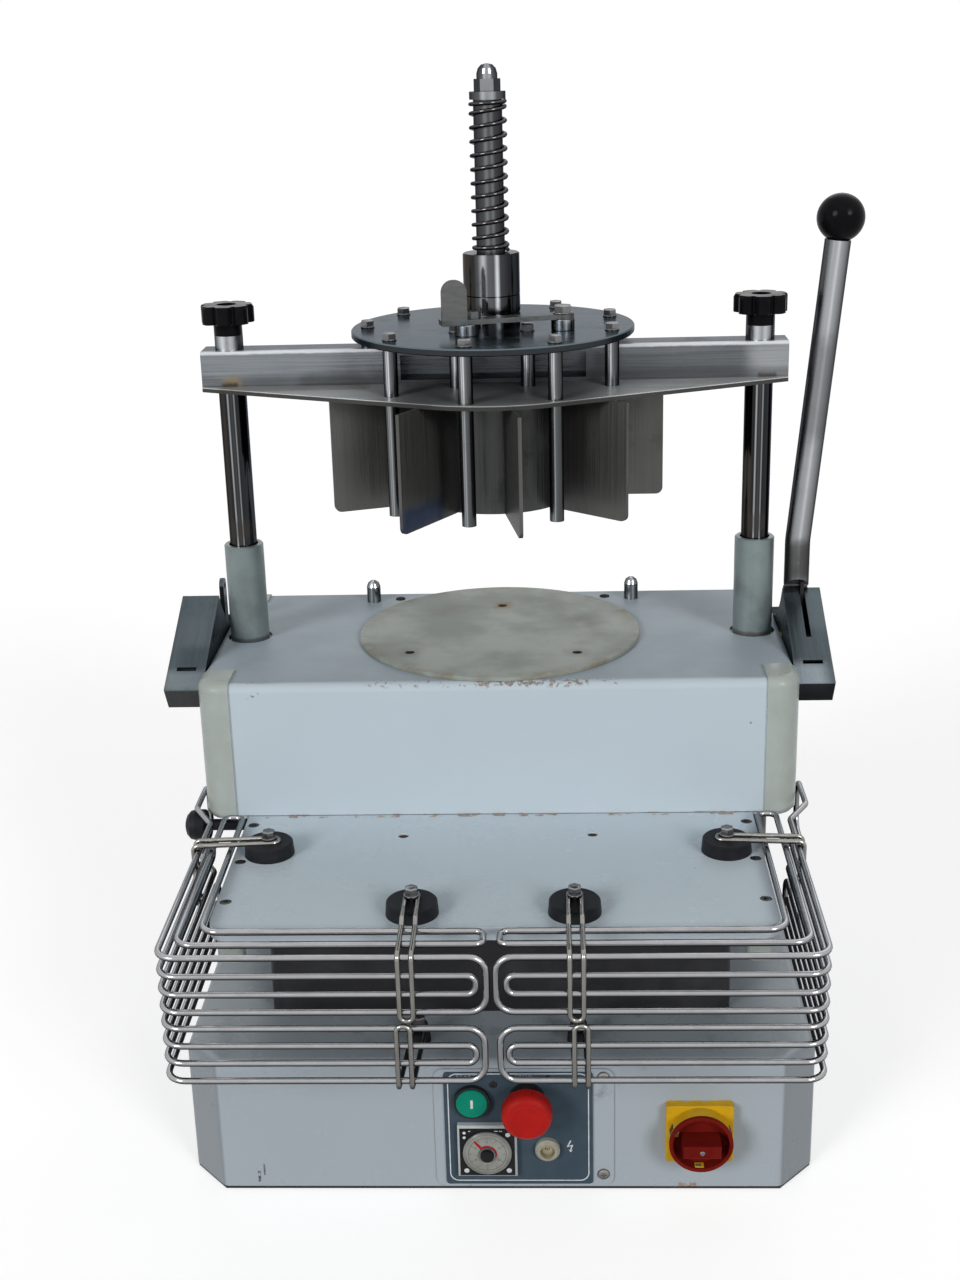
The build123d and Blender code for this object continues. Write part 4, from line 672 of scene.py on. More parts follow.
colour = blend_colour(tree, calc(tree, "MULTIPLY", calc(tree, "MULTIPLY", band, smear), 0.6), colour,
                      (0.175, 0.175, 0.16))
rim = calc(tree, "MULTIPLY", spread(tree, out, 0.108, 0.1255),
           use(tree, clouds, Vector=where, Scale=42.0, Low=0.35, High=0.7)["Amount"])
colour = blend_colour(tree, calc(tree, "MULTIPLY", rim, 0.75), colour, (0.18, 0.155, 0.10))
for x, y, half, tone, strength in HALOS:
    halo = patch_mask(tree, where, centre=(x, y, DISC_MIDDLE[2]), half=(half, half, 0.004), soft=0.011,
                      ragged=0.008, grain=150.0)
    colour = blend_colour(tree, calc(tree, "MULTIPLY", halo, strength), colour, tone)
flecks = use(tree, specks, Vector=where, Scale=70.0, Size=0.06, Share=0.25)["Mask"]
colour = blend_colour(tree, calc(tree, "MULTIPLY", flecks, 0.6), colour, (0.12, 0.08, 0.05))
rough = spread(tree, cloudy, 0, 1, 0.42, 0.58)
fill(tree, shader, Base_Color=colour, Roughness=rough, Specular_IOR_Level=0.2)
scuffed = use(tree, brush_lines, Vector=where, Stretch=(90, 300, 300))["Lines"]
bump(tree, shader, scuffed, strength=0.08, distance=0.0004)
dress(material, "rounding_disc")
print("stained plate done")

# %% [markdown]
# ## Modelling tools
# New pieces are made as by hand: a primitive at its size and place, shaped in edit mode. Three habits repeat,
# so they are functions. *Lathe* stacks rings by extruding a circle and scaling each new ring, which is how
# any round part can be drawn. *Slab* is a block with rounded edges. *Bent rod* draws a line of corner points,
# rounds each corner with a vertex bevel, turns the line into a curve with thickness and back into a mesh.
# Every piece ends with its place in its mesh, so that its origin stays at zero.

# %% Selecting
def nothing_selected():
    """Goes back to object mode with nothing selected."""
    if bpy.context.mode != "OBJECT":
        bpy.ops.object.mode_set(mode="OBJECT")
    bpy.ops.object.select_all(action="DESELECT")


def only(piece):
    """Makes one piece the selected and active one."""
    nothing_selected()
    piece.select_set(True)
    bpy.context.view_layer.objects.active = piece


def open_all(piece):
    """Opens one piece in edit mode with all of it selected."""
    only(piece)
    bpy.ops.object.mode_set(mode="EDIT")
    bpy.ops.mesh.select_all(action="SELECT")


def pick(piece, kind, test):
    """In edit mode, selects the VERT, EDGE or FACE elements that pass a test."""
    bpy.ops.mesh.select_mode(type=kind)
    bpy.ops.mesh.select_all(action="DESELECT")
    cage = bmesh.from_edit_mesh(piece.data)
    elements = {"VERT": cage.verts, "EDGE": cage.edges, "FACE": cage.faces}[kind]
    for element in elements:
        if test(element):
            element.select_set(True)
    bmesh.update_edit_mesh(piece.data)


print("selecting tools ready")

# %% Finishing a piece
SAME_PLACE = 1e-6               # metres


def rest_at_origin(piece, name, smooth=35):
    """Puts a piece's place into its mesh, closes and smooths it, and names it."""
    only(piece)
    bpy.ops.object.transform_apply(location=True, rotation=True, scale=True)
    open_all(piece)
    bpy.ops.mesh.remove_doubles(threshold=SAME_PLACE)
    bpy.ops.mesh.normals_make_consistent(inside=False)
    bpy.ops.object.mode_set(mode="OBJECT")
    bpy.ops.object.shade_smooth_by_angle(angle=math.radians(smooth))
    piece.name = name
    piece.data.name = name
    return piece


def joined(name, parts):
    """Joins pieces into one."""
    nothing_selected()
    for part in parts:
        part.select_set(True)
    bpy.context.view_layer.objects.active = parts[0]
    bpy.ops.object.join()
    parts[0].name = name
    parts[0].data.name = name
    return parts[0]


def mirrored(piece):
    """A mirror image on the other side of the machine, with its faces turned outwards again."""
    only(piece)
    bpy.ops.object.duplicate(linked=False)
    twin = bpy.context.object
    open_all(twin)
    bpy.ops.transform.resize(value=(-1, 1, 1), center_override=(0, 0, 0))
    bpy.ops.mesh.normals_make_consistent(inside=False)
    bpy.ops.object.mode_set(mode="OBJECT")
    return twin


def seat(piece, body, material):
    """Dresses a finished piece and lets it ride on a body."""
    piece.data.materials.clear()
    piece.data.materials.append(material)
    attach(piece, body)
    print(piece.name, "rides on", body, "with", len(piece.data.polygons), "faces")
    return piece


print("finishing tools ready")

# %% Lathe and slab
FACINGS = {"up": (0, 0, 0), "front": (math.pi / 2, 0, 0)}


def lathe(name, rings, at=(0, 0, 0), facing="up", sides=40):
    """Rings are (radius, height) in mm; the first and last are closed. Facing is up or front."""
    nothing_selected()
    bpy.ops.mesh.primitive_circle_add(vertices=sides, radius=rings[0][0] * MM, fill_type="NGON")
    piece = bpy.context.object
    open_all(piece)
    bpy.ops.transform.translate(value=(0, 0, rings[0][1] * MM))
    for (r0, z0), (r1, z1) in zip(rings, rings[1:]):
        bpy.ops.mesh.extrude_region_move(TRANSFORM_OT_translate={"value": (0, 0, (z1 - z0) * MM)})
        grow = r1 / r0
        bpy.ops.transform.resize(value=(grow, grow, 1), center_override=(0, 0, z1 * MM))
    bpy.ops.object.mode_set(mode="OBJECT")
    piece.location = [v * MM for v in at]
    piece.rotation_euler = FACINGS[facing]
    return rest_at_origin(piece, name)


def slab(name, low, high, soft=0.6, segments=2):
    """A block between two corners in mm, with its edges rounded."""
    nothing_selected()
    middle = [(a + b) / 2 * MM for a, b in zip(low, high)]
    bpy.ops.mesh.primitive_cube_add(size=1, location=middle)
    piece = bpy.context.object
    piece.scale = [(b - a) * MM for a, b in zip(low, high)]
    bpy.ops.object.transform_apply(location=True, rotation=True, scale=True)
    open_all(piece)
    bpy.ops.mesh.bevel(offset=soft * MM, segments=segments, affect="EDGES")
    return rest_at_origin(piece, name)


print("lathe and slab ready")

# %% Bent rod
def drawn_line(points):
    """A line of corner points, drawn by extruding one vertex. It stays in edit mode."""
    nothing_selected()
    bpy.ops.mesh.primitive_plane_add(size=0.001)
    piece = bpy.context.object
    bpy.ops.object.mode_set(mode="EDIT")
    bpy.ops.mesh.select_mode(type="VERT")
    bpy.ops.mesh.select_all(action="SELECT")
    bpy.ops.mesh.merge(type="CENTER")
    bpy.ops.transform.translate(value=points[0])
    for start, stop in zip(points, points[1:]):
        bpy.ops.mesh.extrude_vertices_move(TRANSFORM_OT_translate={"value": stop - start})
    return piece


def bent_rod(name, corners, radius, sides=12, steps=7):
    """A closed round rod through corners (x, y, z, bend radius) in mm."""
    points = [Vector(c[:3]) * MM for c in corners]
    ends = points[0], points[-1]
    piece = drawn_line(points)
    pick(piece, "VERT", lambda v: min((v.co - end).length for end in ends) < SAME_PLACE)
    bpy.ops.mesh.edge_face_add()
    for i, corner in enumerate(corners):
        a = (points[i - 1] - points[i]).normalized()
        b = (points[(i + 1) % len(points)] - points[i]).normalized()
        reach = corner[3] * MM / math.tan(a.angle(b) / 2)
        pick(piece, "VERT", lambda v: (v.co - points[i]).length < SAME_PLACE)
        bpy.ops.mesh.bevel(offset=reach, offset_type="OFFSET", segments=steps, affect="VERTICES", profile=0.5)
    bpy.ops.object.mode_set(mode="OBJECT")
    only(piece)
    bpy.ops.object.convert(target="CURVE")
    curve = bpy.context.object
    curve.data.bevel_depth = radius * MM
    curve.data.bevel_resolution = sides // 2 - 2
    bpy.ops.object.convert(target="MESH")
    return rest_at_origin(bpy.context.object, name, 60)


print("bent rod ready")

# %% [markdown]
# ## Guard rods
# The finger guards are bright wire, 5 mm thick, bent into flat closed loops that run along the front and back
# along the sides. Thin hairpins of 4 mm wire are welded across them and bolted to rubber buffers. The solids
# hold them as eight-sided wires; here they are drawn again as round rods through the same corners, so they
# sit where the solids are. Only the hairpins at the sides differ: they run straight down to their bolts. One
# side is modelled and mirrored.

# %% Wire finish
# Wires and hairpins are brighter on top, with painted shade underneath.
wire_steel = steel("wire_steel", (0.39, 0.39, 0.40), EVEN, rough=(0.14, 0.20), contrast=0.05, grime=0.3,
                   depth=0.0, underside_shade=0.08)
dress(wire_steel, "upper_guards", "lower_guards")
pin_steel = steel("hairpin_steel", (0.31, 0.30, 0.28), EVEN, rough=(0.18, 0.26), contrast=0.10, grime=0.5,
                  depth=0.0, underside_shade=0.25)
DECK_TOP, LEDGE_TOP = 264.0, 120.6
SHIFT = 80.0                    # y of the press's axis
GUARD_R, PIN_R, PIN_HALF = 2.5, 2.0, 5.0
ARM_BEND, PIN_BEND = 10, 4.5
GUARD_X, GUARD_Y, TOP_Z = 244.5, -380.6 + SHIFT, DECK_TOP + 4.5
ROD_1, ROD_2 = (GUARD_Y + 38.5, TOP_Z, GUARD_X - 26.3), (GUARD_Y + 18.9, TOP_Z, GUARD_X - 10.7)
upper_z = [TOP_Z - drop for drop in (0, 15.2, 30.3, 45.0)]
lower_z = [LEDGE_TOP + rise for rise in (89.2, 74.5, 59.9, 44.7)]
BOX_FRONT = -129.0 + SHIFT
OUTER_END, INNER_END, ARM_X, ARM_END = BOX_FRONT - 13, BOX_FRONT - 23, 262.0, BOX_FRONT + 59


def guard_loop(name, front, back, x_mid, y_end, bend, end_bend, arms=False):
    """A closed loop of two rods that run along the front and round to the side, with or without arms."""
    (y0, z0, x0), (y1, z1, x1) = front, back
    corners = [(x_mid, y0, z0, end_bend), (x0, y0, z0, bend)]
    if arms:
        for z in (z0, z1):
            step = [(x0, INNER_END - 2, z, ARM_BEND), (ARM_X, BOX_FRONT + 6, z, ARM_BEND),
                    (ARM_X, ARM_END, z, end_bend)]
            corners += step if z == z0 else step[::-1]
    else:
        corners += [(x0, y_end, z0, end_bend), (x1, y_end, z1, end_bend)]
    corners += [(x1, y1, z1, bend), (x_mid, y1, z1, end_bend)]
    return bent_rod(name, corners, GUARD_R)


def level_rod(z):
    """A rod of the loops that stand upright, at one height."""
    return GUARD_Y, z, GUARD_X


print("guard rods at heights", [round(z, 1) for z in upper_z + lower_z])

# %% Upper and lower loops
upper_loops = [guard_loop("loop_top", ROD_1, ROD_2, x_mid=6.2, y_end=OUTER_END, bend=14, end_bend=6),
               guard_loop("loop_upper", level_rod(upper_z[0]), level_rod(upper_z[3]), x_mid=3.4,
                          y_end=ARM_END, bend=15, end_bend=13, arms=True),
               guard_loop("loop_upper_inner", level_rod(upper_z[1]), level_rod(upper_z[2]), x_mid=11.1,
                          y_end=INNER_END, bend=15, end_bend=6.5)]
lower_loops = [guard_loop("loop_lower", level_rod(lower_z[0]), level_rod(lower_z[3]), x_mid=5.7,
                          y_end=OUTER_END, bend=15, end_bend=13),
               guard_loop("loop_lower_inner", level_rod(lower_z[1]), level_rod(lower_z[2]), x_mid=12.0,
                          y_end=INNER_END, bend=15, end_bend=6.5)]
upper_rods = joined("upper_guard_rods", upper_loops + [mirrored(p) for p in upper_loops])
lower_rods = joined("lower_guard_rods", lower_loops + [mirrored(p) for p in lower_loops])
for rods, node in ((upper_rods, "upper_guards"), (lower_rods, "lower_guards")):
    seat(rods, "base", wire_steel)
    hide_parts(node)

# %% Hairpins
BUFFER_H = 11.0
FRONT_BUFFER, SIDE_BUFFER, LEDGE_BUFFER = (62, -305 + SHIFT), (187, -201 + SHIFT), (65, -255 + SHIFT)
PAST_BOLT = 8.0                 # how far a hairpin runs past its bolt
SIDE_SUNK = 1.5                 # the hairpins at the sides are pressed into their buffers
touch = GUARD_R + PIN_R + 0.02
over_z, ledge_z = DECK_TOP + BUFFER_H + PIN_R, LEDGE_TOP + BUFFER_H + PIN_R
level, knee = TOP_Z + touch, -268.0 + SHIFT


def hairpin(name, profile, place):
    """A closed hairpin, 10 mm wide, along a profile of (along, z, bend radius)."""
    corners = [(*place(-PIN_HALF, a, z), r) for a, z, r in profile]
    corners += [(*place(PIN_HALF, a, z), r) for a, z, r in profile[::-1]]
    return bent_rod(name, corners, PIN_R, sides=10, steps=5)


front_line = [(FRONT_BUFFER[1] + PAST_BOLT, over_z, PIN_BEND), (ROD_1[0] + 6, over_z, 4),
              (ROD_1[0] - 0.6, level, touch), (GUARD_Y - touch, level, touch),
              (GUARD_Y - touch, upper_z[3] - 5, PIN_BEND)]
side_line = [(SIDE_BUFFER[0] - PAST_BOLT, over_z - SIDE_SUNK, PIN_BEND),
             (GUARD_X + touch, level + 0.2, touch), (GUARD_X + touch, upper_z[3] - 5, PIN_BEND)]
run, rise = knee - GUARD_Y, lower_z[3] - ledge_z
climb = math.tan(math.atan2(rise, run) - math.asin(touch / math.hypot(rise, run)))
ledge_line = [(GUARD_Y - touch, lower_z[0] + 4.3, PIN_BEND),
              (GUARD_Y - touch, ledge_z + (run + touch) * climb, touch), (knee, ledge_z, 8),
              (LEDGE_BUFFER[1] + PAST_BOLT, ledge_z, PIN_BEND)]
high_pins = [hairpin("pin_front", front_line, lambda s, a, z: (FRONT_BUFFER[0] + s, a, z)),
             hairpin("pin_side", side_line, lambda s, a, z: (a, SIDE_BUFFER[1] + s, z))]
low_pins = [hairpin("pin_ledge", ledge_line, lambda s, a, z: (LEDGE_BUFFER[0] + s, a, z))]
upper_pins = joined("upper_hairpins", high_pins + [mirrored(p) for p in high_pins])
seat(upper_pins, "base", pin_steel)
lower_pins = joined("lower_hairpins", low_pins + [mirrored(p) for p in low_pins])
seat(lower_pins, "base", pin_steel)
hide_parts("upper_guards")
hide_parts("lower_guards")

# %% [markdown]
# ## Spring on the spindle
# A compression spring pushes the ejector down. It is one wire, close-wound for a turn at each end and open
# between. A Screw modifier turns a small circle round the axis while it climbs, so three screws, each
# starting where the last one stopped, make the whole wire.

# %% Wind the spring
SPINDLE = (0.0, SHIFT)
COIL_R, WIRE_R, LOW, HIGH = 14.25, 1.7, 722.6, 845.5
OPEN_TURNS, COIL_GAP, SEAT_GAP = 10, 0.6, 0.3
tight = 2 * WIRE_R + COIL_GAP
coil_low, coil_high = LOW + SEAT_GAP + WIRE_R, HIGH - WIRE_R
open_pitch = (coil_high - coil_low - 2 * tight) / OPEN_TURNS


def coil(name, z, pitch_mm, turns):
    """Some turns of the wire, starting at height z."""
    nothing_selected()
    bpy.ops.mesh.primitive_circle_add(vertices=10, radius=WIRE_R * MM, rotation=(math.pi / 2, 0, 0),
                                      location=(COIL_R * MM, 0, z * MM))
    piece = bpy.context.object
    bpy.ops.object.transform_apply(location=True, rotation=True, scale=True)
    screw = piece.modifiers.new("wind", "SCREW")
    screw.axis, screw.screw_offset, screw.iterations = "Z", pitch_mm * MM, turns
    screw.steps = screw.render_steps = 28
    screw.use_normal_calculate = True
    bpy.ops.object.modifier_apply(modifier="wind")
    piece.name = name
    return piece


turns = [coil("coil_low", z=coil_low, pitch_mm=tight, turns=1),
         coil("coil_open", z=coil_low + tight, pitch_mm=open_pitch, turns=OPEN_TURNS),
         coil("coil_high", z=coil_high - tight, pitch_mm=tight, turns=1)]
spring = joined("spindle_spring_wire", turns)
open_all(spring)
bpy.ops.mesh.remove_doubles(threshold=2e-5)
bpy.ops.mesh.select_all(action="DESELECT")
bpy.ops.mesh.select_mode(type="EDGE")
bpy.ops.mesh.select_non_manifold()
bpy.ops.mesh.fill_holes(sides=0)
bpy.ops.mesh.select_all(action="SELECT")
bpy.ops.transform.translate(value=(SPINDLE[0] * MM, SPINDLE[1] * MM, 0))
bpy.ops.object.mode_set(mode="OBJECT")
rest_at_origin(spring, "spindle_spring_wire", 60)
# The spring's wire gets painted shade underneath.
spring_steel = steel("spring_steel", (0.085, 0.080, 0.084), EVEN, rough=(0.08, 0.14), contrast=0.1, grime=0.4,
                     depth=0.0, underside_shade=0.10)
seat(spring, "press", spring_steel)
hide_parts("spindle_spring")
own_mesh(spring)

# %% [markdown]
# ## Spindle
# The spindle stands on the top wall of the beam, so nothing of it shows in the beam's window. It is turned
# again here with a small chamfer at each end, and the painted reflections of its finish run along it. It is
# round all along, so a lathe is all it takes.

# %% Turn the spindle
BEAM_TOP = 645.7
bar = lathe("spindle_bar", [(11.4, BEAM_TOP - 3), (12, BEAM_TOP - 2.4), (12, HIGH - 0.4), (11.6, HIGH),
                            (6, HIGH), (6, HIGH + 16.5)], (*SPINDLE, 0))
seat(bar, "press", spindle_steel)
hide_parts("spindle")

# %% [markdown]
# ## Screws and bolts
# Small fasteners tell the size of a machine. The guards are held by bright hexagon bolts on washers, the deck
# by dark socket screws in sunk holes, the housing by slotted screws and the control cover by domed cross-head
# screws. Each head is turned once at the origin, cut with its slot, and set out in copies. A slot is made as
# on paper: the top is divided by straight cuts, the strip between them is selected and pushed down.

# %% Slots and copies
def slotted(piece, width, length, depth, cross=False):
    """Sinks a slot or a cross (mm) in the top of a head that stands at the origin and faces up."""
    only(piece)
    top = max(v.co.z for v in piece.data.vertices)
    half, reach = width / 2 * MM, length / 2 * MM
    bpy.ops.object.mode_set(mode="EDIT")
    for way in ((1, 0, 0), (0, 1, 0)):
        for offset in (-reach, -half, half, reach):
            bpy.ops.mesh.select_all(action="SELECT")
            bpy.ops.mesh.bisect(plane_co=[offset * w for w in way], plane_no=way)

    def in_slot(face):
        x, y, z = face.calc_center_median()
        in_x, in_y = abs(y) < half and abs(x) < reach, abs(x) < half and abs(y) < reach
        return face.normal.z > 0.9 and z > top - SAME_PLACE and (in_x or (cross and in_y))

    pick(piece, "FACE", in_slot)
    bpy.ops.mesh.extrude_region_move(TRANSFORM_OT_translate={"value": (0, 0, -depth * MM)})
    return rest_at_origin(piece, piece.name)


def set_out(name, piece, places, turns=None, facing="up"):
    """Copies a piece from the origin to every place (mm), each with its own turn, and joins the copies."""
    copies = []
    for i, at in enumerate(places):
        only(piece)
        if i < len(places) - 1:
            bpy.ops.object.duplicate(linked=False)
        twin = bpy.context.object
        twin.location = [v * MM for v in at]
        twin.rotation_euler = turns[i] if turns else FACINGS[facing]
        bpy.ops.object.transform_apply(location=True, rotation=True, scale=True)
        copies.append(twin)
    return joined(name, copies)


print("fastener tools ready")

# %% Bolts on the rubber buffers
HEX = 2 / math.sqrt(3)          # corner radius of a hexagon over half its width across the flats
buffer_tops = [(*FRONT_BUFFER, DECK_TOP + BUFFER_H), (*SIDE_BUFFER, DECK_TOP + BUFFER_H - SIDE_SUNK),
               (*LEDGE_BUFFER, LEDGE_TOP + BUFFER_H)]
buffer_tops = [(side * x, y, z) for x, y, z in buffer_tops for side in (-1, 1)]
shank = lathe("bolt_shank", [(2.6, 0), (2.6, 4.3)], sides=16)
washer = lathe("bolt_washer", [(5.8, 4.05), (6.1, 4.3), (6.1, 5.2), (5.8, 5.45)], sides=28)
hexagon = lathe("bolt_hexagon", [(4.7 * HEX, 5.4), (4.7 * HEX, 10.3), (4.6, 11.2), (2.6, 11.5)], sides=6)
guard_bolts = set_out("guard_bolts", joined("guard_bolt", [shank, washer, hexagon]), buffer_tops)
seat(guard_bolts, "base", bolt_steel)
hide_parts("fixing_screws")

# %% Screws of the deck, the housing and the control cover
deck_head = lathe("deck_head", [(4.5, 0), (4.6, 0.3), (4.5, 1.0), (4.0, 1.25), (2.0, 1.25), (1.9, 0.3)],
                  sides=24)
DECK_SCREW_X, DECK_SCREW_Y = 209, (-147 + SHIFT, -216 + SHIFT, -285 + SHIFT)
deck_places = [(side * DECK_SCREW_X, y, DECK_TOP - 1.4) for side in (-1, 1) for y in DECK_SCREW_Y]
deck_screws = seat(set_out("deck_screws", deck_head, deck_places), "base", deck_screw)
box_head = lathe("box_head", [(4.6, 0), (4.6, 0.5), (4.2, 0.9)], sides=24)
BOX_SCREW, BOX_TOP = (98, 103 + SHIFT), 384.0
box_places = [(side * BOX_SCREW[0], BOX_SCREW[1], BOX_TOP) for side in (-1, 1)]
box_screws = set_out("box_screws", slotted(box_head, width=1.0, length=9.6, depth=0.5), box_places)
seat(box_screws, "base", dark_screw)
dome_head = lathe("dome_head", [(5.0, 0), (5.0, 0.5), (4.4, 1.5), (3.2, 2.0), (2.2, 2.1)], sides=28)
COVER_FRONT, COVER_SCREW_X, COVER_SCREW_Z = -209.2, 83.8, (107.6, 15.8)
cover_places = [(COVER_SCREW_X, COVER_FRONT, z) for z in COVER_SCREW_Z]
cover_screws = set_out("cover_screws", slotted(dome_head, width=0.9, length=4.0, depth=0.8, cross=True),
                       cover_places, facing="front")
seat(cover_screws, "base", pin_steel)
for screws in (deck_screws, box_screws, cover_screws):
    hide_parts("fixing_screws")

# %% Bolts and latch posts on the ejector plate
EJECTOR_TOP, LATCH_LOW = 661.5, 670.9
RING_R, RING_COUNT, FIRST_ANGLE = 107, 9, -10.5
INNER_BOLT = (30, SHIFT - 33)
PIVOT, REST = (59.6, SHIFT - 30), (-19.8, SHIFT - 50)
ring_angles = [math.radians(FIRST_ANGLE + 360 / RING_COUNT * k) for k in range(RING_COUNT)]
bolt_places = [(math.sin(a) * RING_R, SHIFT - math.cos(a) * RING_R, EJECTOR_TOP) for a in ring_angles]
bolt_places += [(side * INNER_BOLT[0], INNER_BOLT[1], EJECTOR_TOP) for side in (-1, 1)]
ring = lathe("ejector_washer", [(5.7, 0), (6.0, 0.3), (6.0, 1.0), (5.7, 1.3)], sides=28)
head = lathe("ejector_head", [(5.2 * HEX, 1.2), (5.2 * HEX, 5.6), (5.1, 6.3), (2.6, 6.6)], sides=6)
heads = set_out("ejector_heads", joined("ejector_bolt", [ring, head]), bolt_places)
seat(heads, "ejector", bolt_steel)
post = lathe("latch_post", [(9.3, 0), (9.8, 0.5), (9.8, 8.7), (9.3, 9.2)])
posts = set_out("latch_posts", post, [(*PIVOT, EJECTOR_TOP), (*REST, EJECTOR_TOP)])
seat(posts, "ejector", post_steel)
neck = lathe("pivot_neck", [(5, LATCH_LOW - 0.1), (5, 675.2), (8.2, 675.2), (8.4, 675.5), (8.2, 675.9)],
             (*PIVOT, 0), sides=28)
cap = lathe("pivot_cap", [(6.8 * HEX, 675.8), (6.8 * HEX, 681.2), (6.6, 682.0), (3.4, 682.2)], (*PIVOT, 0),
            sides=6)
pivot = seat(joined("latch_pivot", [neck, cap]), "ejector", bolt_steel)
for part in (heads, posts, pivot):
    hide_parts("ejector_bolts")

# %% [markdown]
# ## Small closures
# Two unused holes in the deck are closed by sunk dark brown plugs, a painted shade for the dark inside of the
# holes. The lever's tube ends in a foot behind the tongue. Its cover has an upright flange behind the slot
# and a bent sheet across the back, so that no daylight shows between the tube and the cover; the sheet is
# kept very dark as painted shade. The foot is a short round bar in two steps of which only the rear part is
# kept, because the front has to clear the cover when the lever swings down.

# %% Deck plugs
# Painted shade: dark brown plugs sunk in the deck's two holes make them read dark.
shade_and_mark_brown = moulded("shade_and_mark_brown", (0.035, 0.022, 0.016), rough=0.5, worn=(0.06, 0.035, 0.02))
plug = lathe("deck_plug", [(4.45, 0), (4.45, 1.2), (3.9, 1.5), (3.0, 1.1)], sides=28)
PLUG = (79, -170 + SHIFT)
plugs = set_out("deck_plugs", plug, [(side * PLUG[0], PLUG[1], DECK_TOP - 2.6) for side in (-1, 1)])
seat(plugs, "base", shade_and_mark_brown)

# %% Lever foot
FOOT_X, FOOT_TOP = 265, 427.6
feet = []
for low, front in ((423.5, 3.8), (425.4, -1.0)):
    foot = lathe("foot_step", [(10.6, low), (10.9, low + 0.3), (10.9, FOOT_TOP)], (FOOT_X, SHIFT, 0))
    open_all(foot)
    bpy.ops.mesh.bisect(plane_co=(0, (SHIFT + front) * MM, 0), plane_no=(0, 1, 0), use_fill=True,
                        clear_inner=True)
    feet.append(rest_at_origin(foot, "foot_step"))
seat(joined("lever_foot", feet), "lever", foot_steel)

# %% Flange and back sheet of the lever's cover
AXIS_Z = 368                    # height of the lever's axis
COVER_LEFT, COVER_RIGHT, SHEET = 254.6, 284.4, 1.0
flange = [slab("flange_high", (COVER_LEFT, SHIFT + 7.4, AXIS_Z + 36), (276.4, SHIFT + 8.5, AXIS_Z + 54.8),
               soft=0.3),
          slab("flange_low", (275.6, SHIFT + 7.5, AXIS_Z + 36), (COVER_RIGHT, SHIFT + 8.4, AXIS_Z + 51.5),
               soft=0.3)]
back_line = [(8, 37), (28, 22.6), (58, 10.6), (93, 6.6)]
sheet = drawn_line([Vector((COVER_LEFT, SHIFT + y, AXIS_Z + z)) * MM for y, z in back_line])
bpy.ops.mesh.select_all(action="SELECT")
bpy.ops.mesh.extrude_edges_move(TRANSFORM_OT_translate={"value": ((COVER_RIGHT - COVER_LEFT) * MM, 0, 0)})
only(sheet)
gauge = sheet.modifiers.new("gauge", "SOLIDIFY")
gauge.thickness = SHEET * MM
bpy.ops.object.modifier_apply(modifier="gauge")
# The back sheet is very dark, a painted shade.
seat(rest_at_origin(sheet, "cover_back"), "base", hub_shade_steel)
seat(joined("cover_flange", flange), "base", foot_steel)

# %% [markdown]
# ## Printing on the control panel
# The panel is a grey plastic sheet with a thin white border, two words over the buttons and a sign beside the
# lamp. Printed marks are real, very thin pieces here: an outline is drawn by extruding one vertex, filled,
# and given a tenth of a millimetre of ink. The border is a rounded rectangle that is inset, with its middle
# deleted.

# %% Tools for marks
INK = 0.12                      # thickness in mm
LETTER_SHARE = 0.7              # height of a capital over the size of its type


def printed(name, outline, front, thick=INK):
    """A filled outline of (x, z) in mm, a little proud of the face at y = front."""
    piece = drawn_line([Vector((x, front, z)) * MM for x, z in outline])
    bpy.ops.mesh.select_all(action="SELECT")
    bpy.ops.mesh.edge_face_add()
    bpy.ops.mesh.extrude_region_move(TRANSFORM_OT_translate={"value": (0, -thick * MM, 0)})
    return rest_at_origin(piece, name)


def ring_line(name, outer, inner, centre, front):
    """A flat ring round (x, z) in mm."""
    nothing_selected()
    bpy.ops.mesh.primitive_circle_add(vertices=56, radius=outer * MM)
    piece = bpy.context.object
    open_all(piece)
    bpy.ops.mesh.extrude_edges_move()
    bpy.ops.transform.resize(value=(inner / outer, inner / outer, 1), center_override=(0, 0, 0))
    bpy.ops.mesh.select_all(action="SELECT")
    bpy.ops.mesh.extrude_region_move(TRANSFORM_OT_translate={"value": (0, 0, INK * MM)})
    bpy.ops.object.mode_set(mode="OBJECT")
    piece.location = (centre[0] * MM, front * MM, centre[1] * MM)
    piece.rotation_euler = FACINGS["front"]
    return rest_at_origin(piece, name)


def lettering(name, text, height, at, spacing=1.0):
    """A word with letters of a height in mm, centred at a place and facing the front."""
    nothing_selected()
    bpy.ops.object.text_add(location=[v * MM for v in at], rotation=FACINGS["front"])
    word = bpy.context.object
    word.data.body, word.data.size, word.data.space_character = text, height / LETTER_SHARE * MM, spacing
    word.data.align_x, word.data.align_y = "CENTER", "CENTER"
    word.data.extrude, word.data.resolution_u = INK * MM, 3
    bpy.ops.object.convert(target="MESH")
    return rest_at_origin(bpy.context.object, name)


print("mark tools ready")

# %% Border, words and sign
PANEL = -210.4
BORDER_SIZE, BORDER_MIDDLE, BORDER_BEND, BORDER_LINE = (113.7, 101.8), (15.45, 60.9), 7.5, 0.85
WORD_Z, LETTER_H, LETTER_SPACING = 108.6, 3.5, 1.12
ink_white = moulded("ink_white", (0.60, 0.63, 0.63), rough=0.42, worn=(0.50, 0.53, 0.53))
ink_faded = moulded("ink_faded", (0.27, 0.31, 0.34), rough=0.45, worn=(0.16, 0.20, 0.24))
nothing_selected()
bpy.ops.mesh.primitive_plane_add(size=1)
border = bpy.context.object
border.scale = (BORDER_SIZE[0] * MM, BORDER_SIZE[1] * MM, 1)
bpy.ops.object.transform_apply(location=True, rotation=True, scale=True)
open_all(border)
bpy.ops.mesh.bevel(offset=BORDER_BEND * MM, segments=7, affect="VERTICES")
bpy.ops.mesh.select_all(action="SELECT")
bpy.ops.mesh.inset(thickness=BORDER_LINE * MM)
